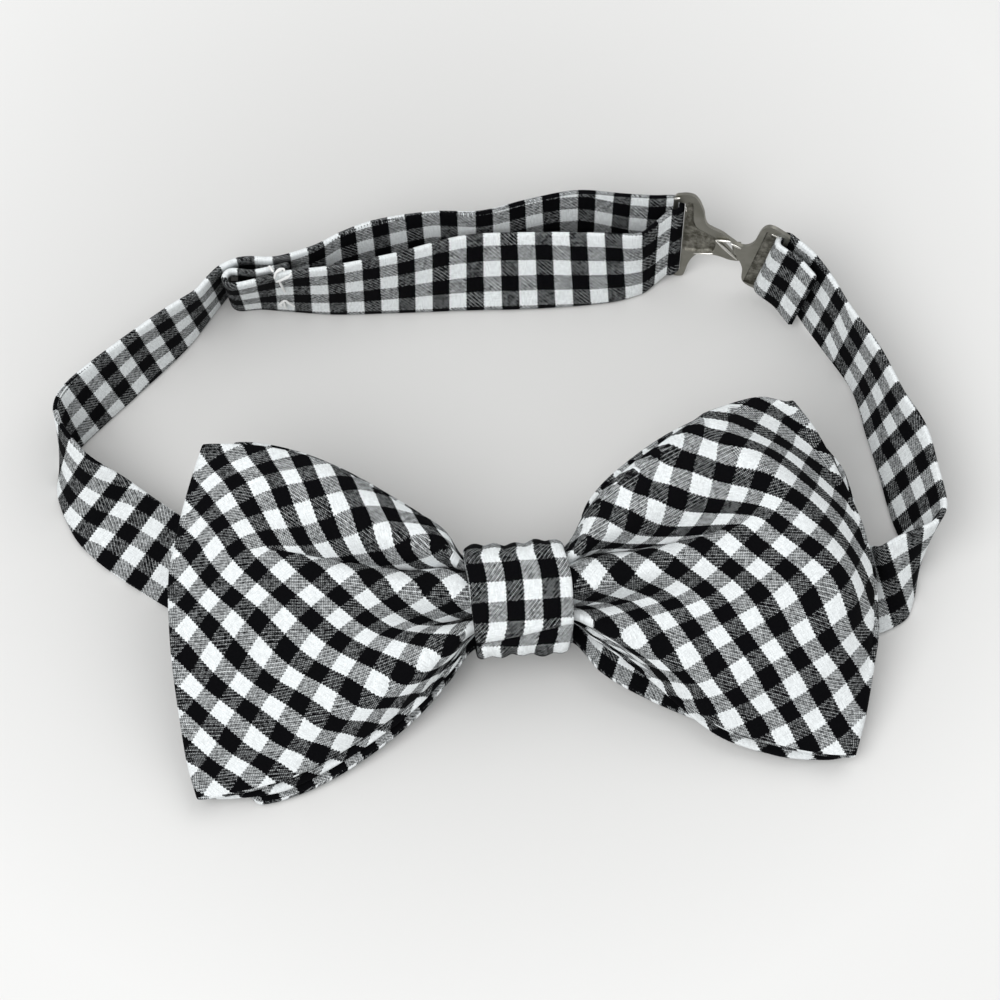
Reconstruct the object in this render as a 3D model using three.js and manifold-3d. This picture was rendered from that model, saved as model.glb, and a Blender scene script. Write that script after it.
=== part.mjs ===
// Pre-tied bow tie in gingham with an adjustable neckband, lying on a table as in the photo.
// Millimetres, +Z up. The bow lies at the front (-Y) and the neckband's clasp at the back (+Y).
import * as THREE from 'three'
import { mergeVertices } from 'three/addons/utils/BufferGeometryUtils.js'
import Module from 'manifold-3d'

const wasm = await Module()
wasm.setup()

// sizes of the cloth and metal parts
const strapWidth = 16
const strapThick = 1
const strapCorner = 0.3
const wallThick = 1
const rearThick = 1
const plateThick = 0.8
const barThick = 0.8
const turnRadius = 1.5
const stationStep = 3.2
const turnSteps = 6
const weldDistance = 1e-5

// the bow's own plane: x along the bow, y up the bow, n out of its front
const bowYaw = THREE.MathUtils.degToRad(4.3)
const bowLean = THREE.MathUtils.degToRad(22)
const bowAt = new THREE.Vector3(3.6, -24.4, 14.5)
const bowX = new THREE.Vector3(Math.cos(bowYaw), Math.sin(bowYaw), 0)
const bowY = new THREE.Vector3(
  -Math.sin(bowYaw) * Math.cos(bowLean), Math.cos(bowYaw) * Math.cos(bowLean), Math.sin(bowLean))
const bowN = bowX.clone().cross(bowY)

// wings: grid of each wall and the fold at the outer edge
const wingAcross = 26
const wingAlong = [0, 0.04, 0.11, 0.17, 0.24, 0.35, 0.46, 0.57, 0.67, 0.77, 0.87, 0.94, 1]
const foldRadius = 0.9
const foldSteps = 3
const backDrop = 1.8
const backRipple = 0.12
// the back wall closes on the fold over the last part of a wing and drops in the first part
const backCloses = 1 / 3
const backDropsIn = 1 / 12

// where along a wing's length the table's sections stand, 0 at the knot and 1 at the outer edge
const sectionAt = [0, 0.04, 0.11, 0.24, 0.46, 0.67, 0.87, 1]
const sectionX = [7.4, 9.8, 13, 20, 32]

// a row for each fold, from the bottom edge up: share of the cut height, then y and n of the
// fold at 7.4, 9.8, 13, 20 and 32 mm from the middle of the bow
const foldColumns = ['share', 'y7', 'n7', 'y10', 'n10', 'y13', 'n13', 'y20', 'n20', 'y32', 'n32']
const leftFolds = [
  [0.00, -4.2, 0.0, -5.8, -0.1, -9.4, -0.2, -16.0, -0.3, -23.6, 0.0],
  [0.12, -4.3, 1.8, -5.6, 2.4, -8.6, 3.2, -13.5, 3.6, -19.4, 3.0],
  [0.24, -3.8, 3.4, -4.6, 4.2, -6.6, 5.0, -10.0, 5.2, -14.2, 4.8],
  [0.36, -3.0, 2.4, -3.3, 2.8, -4.2, 3.4, -5.6, 4.0, -7.4, 4.6],
  [0.44, -2.5, 0.8, -2.6, 1.0, -2.8, 1.5, -2.9, 2.2, -2.4, 4.0],
  [0.56, 0.8, 4.9, 1.0, 5.8, 1.7, 6.6, 3.0, 6.8, 6.0, 6.0],
  [0.63, 4.2, 3.6, 4.8, 4.0, 5.6, 4.5, 6.0, 4.2, 8.6, 4.0],
  [0.69, 5.0, 0.8, 5.6, 1.0, 6.0, 1.2, 5.9, 1.4, 8.4, 2.4],
  [0.80, 6.0, 3.0, 6.4, 3.3, 9.2, 5.7, 11.0, 6.2, 16.2, 6.4],
  [0.91, 6.8, 2.0, 7.2, 2.1, 11.8, 4.4, 15.4, 5.0, 22.4, 5.0],
  [1.00, 7.3, 0.4, 7.8, 0.6, 13.0, 1.6, 17.9, 2.0, 25.8, 2.0],
]
const rightFolds = [
  [0.00, -2.6, 0.0, -3.4, -0.1, -6.0, -0.2, -12.0, -0.3, -23.8, 0.0],
  [0.12, -3.3, 1.8, -4.0, 2.4, -6.2, 3.2, -11.0, 3.6, -18.6, 3.4],
  [0.24, -3.1, 3.4, -3.7, 4.2, -5.2, 5.0, -8.2, 5.4, -13.0, 5.2],
  [0.34, -2.5, 2.4, -2.8, 2.8, -3.4, 3.4, -4.6, 4.2, -6.6, 5.0],
  [0.42, -1.8, 0.8, -1.7, 1.0, -1.4, 1.5, -1.2, 2.2, -1.6, 4.6],
  [0.54, 1.2, 4.9, 1.5, 5.8, 2.1, 6.5, 3.4, 6.8, 5.4, 7.2],
  [0.61, 4.2, 3.5, 4.9, 4.0, 5.8, 4.5, 6.2, 4.4, 8.2, 5.4],
  [0.67, 5.0, 0.8, 5.8, 1.0, 6.8, 1.3, 7.2, 1.6, 9.0, 4.0],
  [0.80, 6.0, 3.0, 7.2, 4.0, 9.8, 5.6, 13.0, 6.4, 19.0, 8.2],
  [0.91, 6.8, 2.0, 8.8, 3.2, 13.2, 4.4, 18.6, 5.0, 25.2, 6.4],
  [1.00, 7.3, 0.4, 9.8, 1.0, 15.0, 1.6, 21.2, 2.0, 28.6, 3.0],
]

// the same folds farther out: x, y and n where the cloth starts to fall to the edge (brow), at the
// foot of that fall, and at the outer edge
const rimColumns = ['xBrow', 'yBrow', 'nBrow', 'xFoot', 'yFoot', 'nFoot', 'xEdge', 'yEdge', 'nEdge']
const leftRim = [
  [43, -28.4, 0.6, 52, -30.2, 1.0, 57.9, -30.6, 1.2],
  [43, -23.1, 2.0, 53, -24.6, 1.2, 59.2, -24.5, 0.8],
  [43, -17.1, 3.2, 54, -18.0, 1.8, 59.9, -17.5, 1.0],
  [43, -9.0, 3.4, 54, -9.6, 2.0, 60.5, -9.5, 1.0],
  [43, -3.1, 3.6, 54, -3.4, 2.2, 60.7, -3.5, 1.0],
  [43, 6.8, 4.4, 54, 5.4, 2.4, 60.5, 4.5, 1.0],
  [43, 11.0, 3.6, 53, 10.8, 2.2, 59.9, 9.8, 1.0],
  [43, 11.9, 3.2, 53, 13.2, 2.0, 58.9, 13.0, 1.0],
  [42, 20.0, 4.8, 51, 20.6, 2.6, 57.0, 19.4, 1.0],
  [41, 25.8, 3.8, 49, 26.8, 2.2, 54.6, 26.0, 0.8],
  [41, 29.0, 1.4, 48, 30.2, 0.8, 52.7, 30.6, 0.5],
]
const rightRim = [
  [43, -28.6, 0.6, 51, -30.9, 1.0, 55.6, -31.4, 1.2],
  [45, -23.0, 2.4, 53, -24.4, 1.4, 58.0, -24.5, 0.6],
  [48, -17.0, 4.6, 56, -17.0, 2.4, 60.0, -16.4, 0.4],
  [51, -10.0, 6.4, 58.8, -10.4, 2.0, 61.4, -10.4, -0.4],
  [53, -3.0, 7.8, 60.2, -5.6, 0.8, 61.7, -6.0, -1.6],
  [51, 5.0, 9.4, 60.4, 1.4, -1.0, 61.8, 0.6, -2.6],
  [48.6, 10.4, 10.2, 59.2, 6.6, -2.0, 60.9, 5.6, -3.2],
  [46.8, 14.2, 10.6, 58.2, 10.4, -2.4, 60.0, 9.6, -3.4],
  [41.0, 22.0, 10.8, 53.4, 19.6, -2.8, 56.6, 18.4, -3.6],
  [37.0, 26.6, 9.4, 48.4, 26.4, -2.2, 53.0, 26.0, -3.2],
  [35.5, 30.4, 5.0, 43.6, 32.4, -1.0, 49.4, 31.2, -2.0],
]

// height n of each wing's back wall at the same eight sections, along its bottom edge and above it;
// the last one meets the fold at the outer edge
const leftBack = {
  low: [-1.4, -1.4, -1.5, -1.5, -1.4, -0.9, -0.6, -0.6],
  high: [-1.4, -1.4, -1.4, -1.4, -1.2, -0.9, -0.8, -0.8],
}
const rightBack = {
  low: [-1.4, -1.4, -1.5, -1.6, -1.5, -0.9, -0.6, -0.6],
  high: [-1.4, -1.5, -1.7, -2.2, -3.2, -4.2, -4.6, -4.6],
}
const lowShare = 0.45

// the rear bow: a row for each section along it, x, y of its bottom and top edge, height n of the
// bottom edge and above it; its lower left corner lies on the table
const rearRows = [
  { x: -49.5, bottom: -31.0, top: 29.0, low: -2.0, high: -4.0 },
  { x: -47.5, bottom: -32.6, top: 30.8, low: -1.9, high: -4.0 },
  { x: -39, bottom: -30.8, top: 29.2, low: -2.4, high: -3.8 },
  { x: -30, bottom: -26.6, top: 25.2, low: -3.0, high: -3.6 },
  { x: -20, bottom: -19.8, top: 18.6, low: -3.2, high: -3.4 },
  { x: -13, bottom: -12.9, top: 13.0, low: -3.1, high: -3.2 },
  { x: -9.6, bottom: -8.6, top: 8.0, low: -2.8, high: -2.8 },
  { x: -7, bottom: -7.5, top: 7.5, low: -2.8, high: -2.8 },
  { x: 7, bottom: -7.5, top: 7.5, low: -2.8, high: -2.8 },
  { x: 9.2, bottom: -8.4, top: 8.2, low: -2.9, high: -2.9 },
  { x: 13, bottom: -13.4, top: 16.0, low: -3.1, high: -3.3 },
  { x: 20, bottom: -18.4, top: 22.3, low: -3.2, high: -3.8 },
  { x: 30, bottom: -23.6, top: 28.0, low: -3.2, high: -5.0 },
  { x: 40, bottom: -27.2, top: 30.6, low: -3.0, high: -6.2 },
  { x: 50, bottom: -27.0, top: 27.6, low: -3.0, high: -6.8 },
  { x: 58, bottom: -21.6, top: 19.0, low: -3.8, high: -6.8 },
  { x: 60, bottom: -16.8, top: 11.0, low: -4.4, high: -6.8 },
]
const rearWaves = 2.5
const rearWaveHeight = 0.2
const rearWavesFrom = 12
const rearWavesOver = 10
const rearAcross = 14

// the knot: a row for each point of its ring, y and n, and the x of its left and right edge there
const knotRing = [
  { y: 0, n: 7.7, left: -8.9, right: 8.8 },
  { y: 3.2, n: 7.5, left: -9.0, right: 8.8 },
  { y: 6.2, n: 6.6, left: -9.3, right: 8.5 },
  { y: 8.5, n: 4.8, left: -9.5, right: 8.0 },
  { y: 9.7, n: 2.2, left: -9.5, right: 7.8 },
  { y: 9.9, n: -1.0, left: -9.4, right: 7.9 },
  { y: 9.7, n: -4.4, left: -9.2, right: 8.2 },
  { y: 8.6, n: -6.2, left: -8.8, right: 8.4 },
  { y: -8.6, n: -6.2, left: -8.4, right: 8.4 },
  { y: -9.6, n: -4.4, left: -8.3, right: 8.2 },
  { y: -9.8, n: -1.0, left: -8.2, right: 7.8 },
  { y: -9.6, n: 2.0, left: -8.2, right: 7.6 },
  { y: -8.6, n: 4.6, left: -8.3, right: 7.8 },
  { y: -6.2, n: 6.6, left: -8.5, right: 8.4 },
  { y: -3.2, n: 7.5, left: -8.7, right: 8.8 },
]
const knotWall = 1.1
const knotAlong = 6

// the straps: a row for each station, x and y of the middle line, how far the top edge stands over
// the bottom edge in x and y, and how far the bottom edge is lifted off the table
const stationColumns = ['x', 'y', 'overX', 'overY', 'lift']
const longOut = [
  [3.1, -23.1, -1.1, 14.8, 7.6],
  [-6.5, -23.7, -1.0, 14.8, 7.4],
  [-20.0, -24.0, 1.0, 14.5, 5.6],
  [-34.0, -22.6, 3.5, 14.0, 2.8],
  [-47.0, -18.9, 6.5, 12.5, 0.7],
  [-57.0, -13.9, 8.6, 10.2, 0],
  [-69.4, -5.0, 9.2, 8.7, 0],
  [-75.5, 1.2, 6.1, 2.8, 0],
  [-77.9, 7.0, 0.6, 3.2, 0],
  [-77.2, 11.0, -2.5, 3.0, 0],
  [-74.0, 15.4, -4.8, 2.2, 0],
  [-67.6, 21.5, -4.3, 1.9, 0],
  [-57.9, 30.3, -2.7, 0.4, 0],
  [-53.4, 34.9, -1.5, -2.0, 0],
  [-51.6, 37.3, -1.2, -2.0, 0],
  [-49.4, 39.8, -0.8, -2.2, 0],
  [-46.0, 41.3, -0.4, -2.2, 0],
  [-40.0, 40.8, 0, -1.0, 0],
  [-33.3, 41.2, -0.3, 2.8, 0],
  [-28.0, 43.6, -0.6, 3.9, 0],
  [-22.0, 45.7, -1.0, 4.4, 0],
  [-12.0, 47.4, -0.6, 4.4, 0],
  [-3.6, 47.6, 0, 4.2, 0],
  [6.0, 50.0, -0.6, 4.4, 0],
  [14.0, 51.5, 0, 4.7, 0],
  [22.0, 50.6, 0.5, 5.0, 0.3],
  [27.5, 49.8, 0.6, 5.5, 0.9],
]
const longBack = [
  [28.0, 45.0, 0.4, 5.6, 0.3],
  [25.3, 43.0, -0.4, 4.8, 0],
  [19.2, 42.4, -0.9, 7.1, 0],
  [6.2, 42.1, -0.6, 9.0, 0],
  [-5.9, 41.6, -0.1, 8.7, 0],
  [-18.3, 39.2, -0.2, 4.7, 0],
  [-30.1, 37.6, -0.2, 2.0, 0],
  [-39.3, 37.3, 0, 0, 0],
  [-43.5, 36.8, -0.5, -1.8, 0],
]
const longEnd = [
  [-44.0, 38.8, -0.6, -2.2, 0],
  [-40.5, 38.9, -0.4, -1.0, 0],
  [-37.5, 39.1, -0.2, 0.4, 0],
]
const shortOut = [
  [3.7, -23.1, -1.1, 14.8, 7.6],
  [12.6, -22.5, -1.2, 14.8, 7.6],
  [17.0, -22.4, -1.4, 14.8, 6.3],
  [28.0, -22.2, -1.6, 14.6, 4.2],
  [44.0, -21.6, -2.0, 14.3, 1.9],
  [57.0, -20.3, -2.4, 13.6, 0.3],
  [65.9, -18.8, -2.6, 12.9, 0],
  [68.9, -18.2, -5.0, 9.3, 0],
  [71.0, -16.3, -3.0, 8.0, 0],
  [72.9, -14.4, -0.5, 5.8, 0],
  [74.7, -11.9, 2.5, 3.5, 0],
  [75.2, -9.2, 5.0, 3.0, 0],
  [74.5, -5.9, 7.0, 1.8, 0],
  [73.4, -1.5, 7.4, 2.9, 0],
  [71.4, 7.1, 7.3, 3.1, 0],
  [68.6, 13.6, 5.3, 2.4, 0],
  [65.3, 22.0, 3.5, 2.0, 0],
  [59.8, 30.3, 3.4, 2.1, 0],
  [57.2, 34.2, 3.8, 2.6, 0],
  [53.8, 38.6, 3.6, 2.4, 0.3],
]
const shortEnd = [
  [51.0, 37.8, 3.6, 2.3, 0.5],
  [53.6, 35.2, 3.8, 2.6, 0.2],
  [56.2, 32.2, 3.7, 2.4, 0],
]

// the bars that the straps turn round: middle of the bar, where the strap arrives and leaves
// around it in degrees, and the lean and lift of the strap there
const eyeTurn = { x: 31.2, y: 48.1, from: 80, to: -110, overX: 0.6, overY: 5.8, lift: 1.3 }
const slideTurn = { x: -47.4, y: 37.7, from: -90, to: -270, overX: -0.8, overY: -2.4, lift: 0 }
const hookTurn = { x: 49.1, y: 40.7, from: 38, to: 218, overX: 3.4, overY: 2.1, lift: 1.3 }

// clasp plates: corner, axis in plan, and the outlines, u along the plate and v up it
const eyePlateAt = new THREE.Vector3(33.1, 47.5, 8.9)
const eyePlateU = new THREE.Vector3(0.94, -0.34, 0)
const eyePlateUp = new THREE.Vector3(0.04, 0.36, 0.93)
const eyeOutline = [
  [-2.4, 9.4], [0, 10], [1.9, 11], [3.2, 10.9], [4.2, 9.6], [4.6, 7.4], [4.8, 5.2], [5.4, 4], [7.3, 3.4],
  [9.6, 3.2], [11.4, 3], [12.2, 2.2], [12.2, -1.6], [11.5, -2.4], [9.6, -2.7], [6.4, -3], [4.4, -3.6],
  [3, -4.7], [2.1, -6.4], [1.4, -8.3], [0.4, -9.4], [-2.4, -9.4],
]
const eyeHole = [[7.2, 1], [10.9, -1.8], [10.9, 2.2]]
const hookPlateAt = new THREE.Vector3(46.5, 41.6, 9.5)
const hookPlateU = new THREE.Vector3(0.936, -0.314, -0.16)
const hookPlateUp = new THREE.Vector3(0.21, 0.13, 0.97)
const hookOutline = [
  [3.1, 9.2], [1, 9.7], [-0.4, 9.4], [-1.6, 8], [-2.1, 5.6], [-2.5, 3.2], [-3.4, 2], [-4.6, 1.5],
  [-4.6, -1.5], [-3.6, -2.4], [-3, -4.4], [-2.4, -7], [-1.6, -8.8], [-0.4, -9.4], [3.1, -9.2],
]
const slotHeight = 16.8
const eyeSlot = { from: -1.6, to: 0.4 }
const hookSlot = { from: -0.3, to: 2.3 }
// the hook's strip, u and m in the eye plate's own axes, over the rim and down through the hole
const hookStrip = [
  [11.6, 1.5], [10.7, 1.5], [10.2, 1.1], [10, 0.4], [10, -0.6], [10.2, -1.2], [10.8, -1.5], [11.6, -1.45],
]
const hookStripWidth = 1.5
const hookStripRise = 0.4
const hookStripThick = 0.7
const slideBarHeight = 14
const slideBarWidth = 1.2
const slideBarShift = 0.3

// Catmull-Rom curve through rows of numbers that stand at uneven places
function through(places, rows, at) {
  const last = places.length - 1
  let i = 0
  while (i < last - 1 && at > places[i + 1]) i += 1
  const slope = (k, c) => {
    const low = Math.max(k - 1, 0)
    const high = Math.min(k + 1, last)
    return (rows[high][c] - rows[low][c]) / (places[high] - places[low])
  }
  const span = places[i + 1] - places[i]
  const u = (at - places[i]) / span
  const u2 = u * u
  const u3 = u2 * u
  return rows[i].map((value, c) =>
    (2 * u3 - 3 * u2 + 1) * value + (u3 - 2 * u2 + u) * span * slope(i, c) +
    (3 * u2 - 2 * u3) * rows[i + 1][c] + (u3 - u2) * span * slope(i + 1, c))
}

function named(columns, row) {
  return Object.fromEntries(columns.map((name, i) => [name, row[i]]))
}

function bowPoint(x, y, n) {
  return bowAt.clone().addScaledVector(bowX, x).addScaledVector(bowY, y).addScaledVector(bowN, n)
}

function geometryFrom(points, faces) {
  const geometry = new THREE.BufferGeometry()
  geometry.setAttribute('position', new THREE.Float32BufferAttribute(points.flatMap((p) => p.toArray()), 3))
  geometry.setIndex(faces.flat())
  return geometry
}

// a closed wall around a grid of middle points, rows of equal length; its rim is closed all round
function wallAround(grid, thick) {
  const rows = grid.length
  const cols = grid[0].length
  const normalAt = (i, j) => {
    const up = grid[Math.min(i + 1, rows - 1)][j].clone().sub(grid[Math.max(i - 1, 0)][j])
    const along = grid[i][Math.min(j + 1, cols - 1)].clone().sub(grid[i][Math.max(j - 1, 0)])
    return along.cross(up).normalize()
  }
  const points = []
  for (const side of [0.5, -0.5]) {
    grid.forEach((row, i) => row.forEach((p, j) =>
      points.push(p.clone().addScaledVector(normalAt(i, j), side * thick))))
  }
  const at = (side, i, j) => side * rows * cols + i * cols + j
  const faces = []
  const quad = (a, b, c, d) => faces.push([a, b, c], [a, c, d])
  for (let i = 0; i < rows - 1; i += 1) {
    for (let j = 0; j < cols - 1; j += 1) {
      quad(at(0, i, j), at(0, i, j + 1), at(0, i + 1, j + 1), at(0, i + 1, j))
      quad(at(1, i, j), at(1, i + 1, j), at(1, i + 1, j + 1), at(1, i, j + 1))
    }
    quad(at(0, i, 0), at(0, i + 1, 0), at(1, i + 1, 0), at(1, i, 0))
    quad(at(0, i, cols - 1), at(1, i, cols - 1), at(1, i + 1, cols - 1), at(0, i + 1, cols - 1))
  }
  for (let j = 0; j < cols - 1; j += 1) {
    quad(at(0, 0, j), at(1, 0, j), at(1, 0, j + 1), at(0, 0, j + 1))
    quad(at(0, rows - 1, j), at(0, rows - 1, j + 1), at(1, rows - 1, j + 1), at(1, rows - 1, j))
  }
  return geometryFrom(points, faces)
}

// one wing: front wall with its folds, the turn at the outer edge and the flatter back wall
function wing(side, folds, rim, back) {
  const foldRows = folds.map((row) => named(foldColumns, row))
  const rimRows = rim.map((row) => named(rimColumns, row))
  const shares = foldRows.map((row) => row.share)
  const sections = foldRows.map((f, i) => {
    const r = rimRows[i]
    return [
      [sectionX[0], f.y7, f.n7], [sectionX[1], f.y10, f.n10], [sectionX[2], f.y13, f.n13],
      [sectionX[3], f.y20, f.n20], [sectionX[4], f.y32, f.n32],
      [r.xBrow, r.yBrow, r.nBrow], [r.xFoot, r.yFoot, r.nFoot],
      [r.xEdge - foldRadius, r.yEdge, r.nEdge],
    ]
  })
  const backLevels = back.low.map((low, i) => [low, back.high[i]])
  const grid = []
  for (let i = 0; i <= wingAcross; i += 1) {
    const share = i / wingAcross
    const front = wingAlong.map((s) => {
      const acrossFolds = sections.map((row) => through(sectionAt, row, s))
      return through(shares, acrossFolds, share)
    })
    const edge = front[front.length - 1]
    const row = front.map(([x, y, n]) => bowPoint(side * x, y, n))
    for (let k = 1; k <= foldSteps; k += 1) {
      const angle = Math.PI * k / (foldSteps + 1)
      const x = edge[0] + foldRadius * Math.sin(angle)
      row.push(bowPoint(side * x, edge[1], edge[2] - foldRadius * (1 - Math.cos(angle))))
    }
    const edgeLevel = edge[2] - 2 * foldRadius
    for (let k = wingAlong.length - 1; k >= 0; k -= 1) {
      const s = wingAlong[k]
      const [x, y, n] = front[k]
      const [low, high] = through(sectionAt, backLevels, s)
      const level = THREE.MathUtils.lerp(low, high, THREE.MathUtils.smoothstep(share, 0, lowShare))
      const open = Math.min(1, (1 - s) / backCloses)
      const flat = level + backRipple * n
      const drop = backDrop * (1 - share) * Math.min(1, s / backDropsIn) * open
      row.push(bowPoint(side * x, y - drop, THREE.MathUtils.lerp(edgeLevel, flat, open)))
    }
    grid.push(row)
  }
  return wallAround(side > 0 ? grid : grid.reverse(), wallThick)
}

function rearBow() {
  const places = rearRows.map((row) => row.x)
  const rows = rearRows.map((row) => [row.bottom, row.top, row.low, row.high])
  const grid = []
  for (let i = 0; i <= rearAcross; i += 1) {
    const share = i / rearAcross
    const wave = Math.sin(share * rearWaves * 2 * Math.PI)
    grid.push(places.flatMap((x, k) => {
      const stops = k + 1 < places.length ? [x, (x + places[k + 1]) / 2] : [x]
      return stops.map((at) => {
        const [bottom, top, low, high] = through(places, rows, at)
        const level = THREE.MathUtils.lerp(low, high, THREE.MathUtils.smoothstep(share, 0, lowShare))
        const away = (Math.abs(at) - rearWavesFrom) / rearWavesOver
        const height = rearWaveHeight * wave * Math.min(1, Math.max(0, away))
        return bowPoint(at, THREE.MathUtils.lerp(bottom, top, share), level + height)
      })
    }))
  }
  return wallAround(grid, rearThick)
}

// the knot's wrap: an open ring of cloth round the middle, with a flat back
function knotWrap() {
  const count = knotRing.length
  const inward = knotRing.map((row, i) => {
    const before = knotRing[(i + count - 1) % count]
    const after = knotRing[(i + 1) % count]
    const edge = new THREE.Vector2(after.y - before.y, after.n - before.n).normalize()
    return { y: row.y + knotWall * edge.y, n: row.n - knotWall * edge.x }
  })
  const points = []
  for (const ring of [knotRing, inward]) {
    for (let k = 0; k <= knotAlong; k += 1) {
      const t = k / knotAlong
      ring.forEach((spot, i) => {
        const { left, right } = knotRing[i]
        points.push(bowPoint(THREE.MathUtils.lerp(left, right, t), spot.y, spot.n))
      })
    }
  }
  const at = (layer, k, i) => (layer * (knotAlong + 1) + k) * count + (i % count)
  const faces = []
  const quad = (a, b, c, d) => faces.push([a, b, c], [a, c, d])
  for (let i = 0; i < count; i += 1) {
    for (let k = 0; k < knotAlong; k += 1) {
      quad(at(0, k, i), at(0, k + 1, i), at(0, k + 1, i + 1), at(0, k, i + 1))
      quad(at(1, k, i), at(1, k, i + 1), at(1, k + 1, i + 1), at(1, k + 1, i))
    }
    quad(at(0, 0, i), at(0, 0, i + 1), at(1, 0, i + 1), at(1, 0, i))
    quad(at(0, knotAlong, i), at(1, knotAlong, i), at(1, knotAlong, i + 1), at(0, knotAlong, i + 1))
  }
  return geometryFrom(points, faces)
}

// stations of a turn round a bar, as rows like those of the tables
function turnRows(turn) {
  const rows = []
  for (let k = 0; k <= turnSteps; k += 1) {
    const angle = THREE.MathUtils.degToRad(THREE.MathUtils.lerp(turn.from, turn.to, k / turnSteps))
    rows.push([
      turn.x + turnRadius * Math.cos(angle), turn.y + turnRadius * Math.sin(angle),
      turn.overX, turn.overY, turn.lift,
    ])
  }
  return rows
}

// a strap through its stations: sections of eight corners, closed at both ends
function strap(rows) {
  const places = [0]
  for (let i = 1; i < rows.length; i += 1) {
    places.push(places[i - 1] + Math.hypot(rows[i][0] - rows[i - 1][0], rows[i][1] - rows[i - 1][1]))
  }
  const stops = []
  places.forEach((place, i) => {
    if (i === places.length - 1) {
      stops.push(place)
      return
    }
    const steps = Math.max(1, Math.round((places[i + 1] - place) / stationStep))
    for (let k = 0; k < steps; k += 1) stops.push(THREE.MathUtils.lerp(place, places[i + 1], k / steps))
  })
  const sections = stops.map((stop) => {
    const s = named(stationColumns, through(places, rows, stop))
    const tall = Math.sqrt(strapWidth ** 2 - s.overX ** 2 - s.overY ** 2)
    return {
      middle: new THREE.Vector3(s.x, s.y, Math.max(s.lift, 0) + tall / 2),
      up: new THREE.Vector3(s.overX, s.overY, tall).divideScalar(strapWidth),
    }
  })
  const half = strapWidth / 2
  const side = strapThick / 2
  const corner = strapCorner
  const outline = [
    [half, side - corner], [half - corner, side], [corner - half, side], [-half, side - corner],
    [-half, corner - side], [corner - half, -side], [half - corner, -side], [half, corner - side],
  ]
  const points = sections.flatMap(({ middle, up }, i) => {
    const before = sections[Math.max(i - 1, 0)].middle
    const after = sections[Math.min(i + 1, sections.length - 1)].middle
    const ahead = after.clone().sub(before).normalize()
    const out = ahead.cross(up).normalize()
    return outline.map(([a, b]) => middle.clone().addScaledVector(up, a).addScaledVector(out, b))
  })
  const count = outline.length
  const faces = []
  for (let i = 0; i < sections.length - 1; i += 1) {
    for (let k = 0; k < count; k += 1) {
      const a = i * count + k
      const b = i * count + (k + 1) % count
      faces.push([a, b, b + count], [a, b + count, a + count])
    }
  }
  const end = (sections.length - 1) * count
  for (let k = 1; k < count - 1; k += 1) {
    faces.push([0, k + 1, k], [end, end + k, end + k + 1])
  }
  return geometryFrom(points, faces)
}

// axes of a clasp plate: u along it, v up it, m out of its front
function plateAxes(at, u, up) {
  const upright = up.clone().normalize()
  const front = u.clone().cross(upright).normalize()
  const along = upright.clone().cross(front)
  return new THREE.Matrix4().makeBasis(along, upright, front).setPosition(at)
}

function plate(outline, holes, axes) {
  const shape = new THREE.Shape(outline.map(([u, v]) => new THREE.Vector2(u, v)))
  holes.forEach((hole) => shape.holes.push(new THREE.Path(hole.map(([u, v]) => new THREE.Vector2(u, v)))))
  const geometry = new THREE.ExtrudeGeometry(shape, { depth: plateThick, bevelEnabled: false })
  geometry.translate(0, 0, -plateThick / 2)
  return geometry.applyMatrix4(axes)
}

function slotHole(slot) {
  const half = slotHeight / 2
  return [[slot.from, half], [slot.from, -half], [slot.to, -half], [slot.to, half]]
}

function toManifold(geometry) {
  const plain = geometry.clone()
  plain.deleteAttribute('normal')
  plain.deleteAttribute('uv')
  const merged = mergeVertices(plain, weldDistance)
  return new wasm.Manifold(new wasm.Mesh({
    numProp: 3,
    vertProperties: new Float32Array(merged.attributes.position.array),
    triVerts: new Uint32Array(merged.index.array),
  }))
}

function fromManifold(solid) {
  const mesh = solid.getMesh()
  const geometry = new THREE.BufferGeometry()
  geometry.setAttribute('position', new THREE.Float32BufferAttribute(mesh.vertProperties, 3))
  geometry.setIndex(Array.from(mesh.triVerts))
  return geometry
}

// the hook's bent strip of metal, in the eye plate's axes
function hookStripSolid(axes) {
  const grid = [-0.5, 0.5].map((side) => hookStrip.map(([u, m]) =>
    new THREE.Vector3(u, side * hookStripWidth + hookStripRise, m).applyMatrix4(axes)))
  return wallAround(grid, hookStripThick)
}

// the hidden bar of the slide, along the lean of the strap that turns round it
function slideBar() {
  const { x, y, overX, overY } = slideTurn
  const tall = Math.sqrt(strapWidth ** 2 - overX ** 2 - overY ** 2)
  const up = new THREE.Vector3(overX, overY, tall).normalize()
  const middle = new THREE.Vector3(x + slideBarShift, y, tall / 2)
  const axes = plateAxes(middle, new THREE.Vector3(1, 0, 0), up)
  return new THREE.BoxGeometry(slideBarWidth, slideBarHeight, barThick).applyMatrix4(axes)
}

const eyeAxes = plateAxes(eyePlateAt, eyePlateU, eyePlateUp)
const hookAxes = plateAxes(hookPlateAt, hookPlateU, hookPlateUp)
const hookBody = toManifold(plate(hookOutline, [slotHole(hookSlot)], hookAxes))
const hookWhole = fromManifold(hookBody.add(toManifold(hookStripSolid(eyeAxes))))

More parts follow.
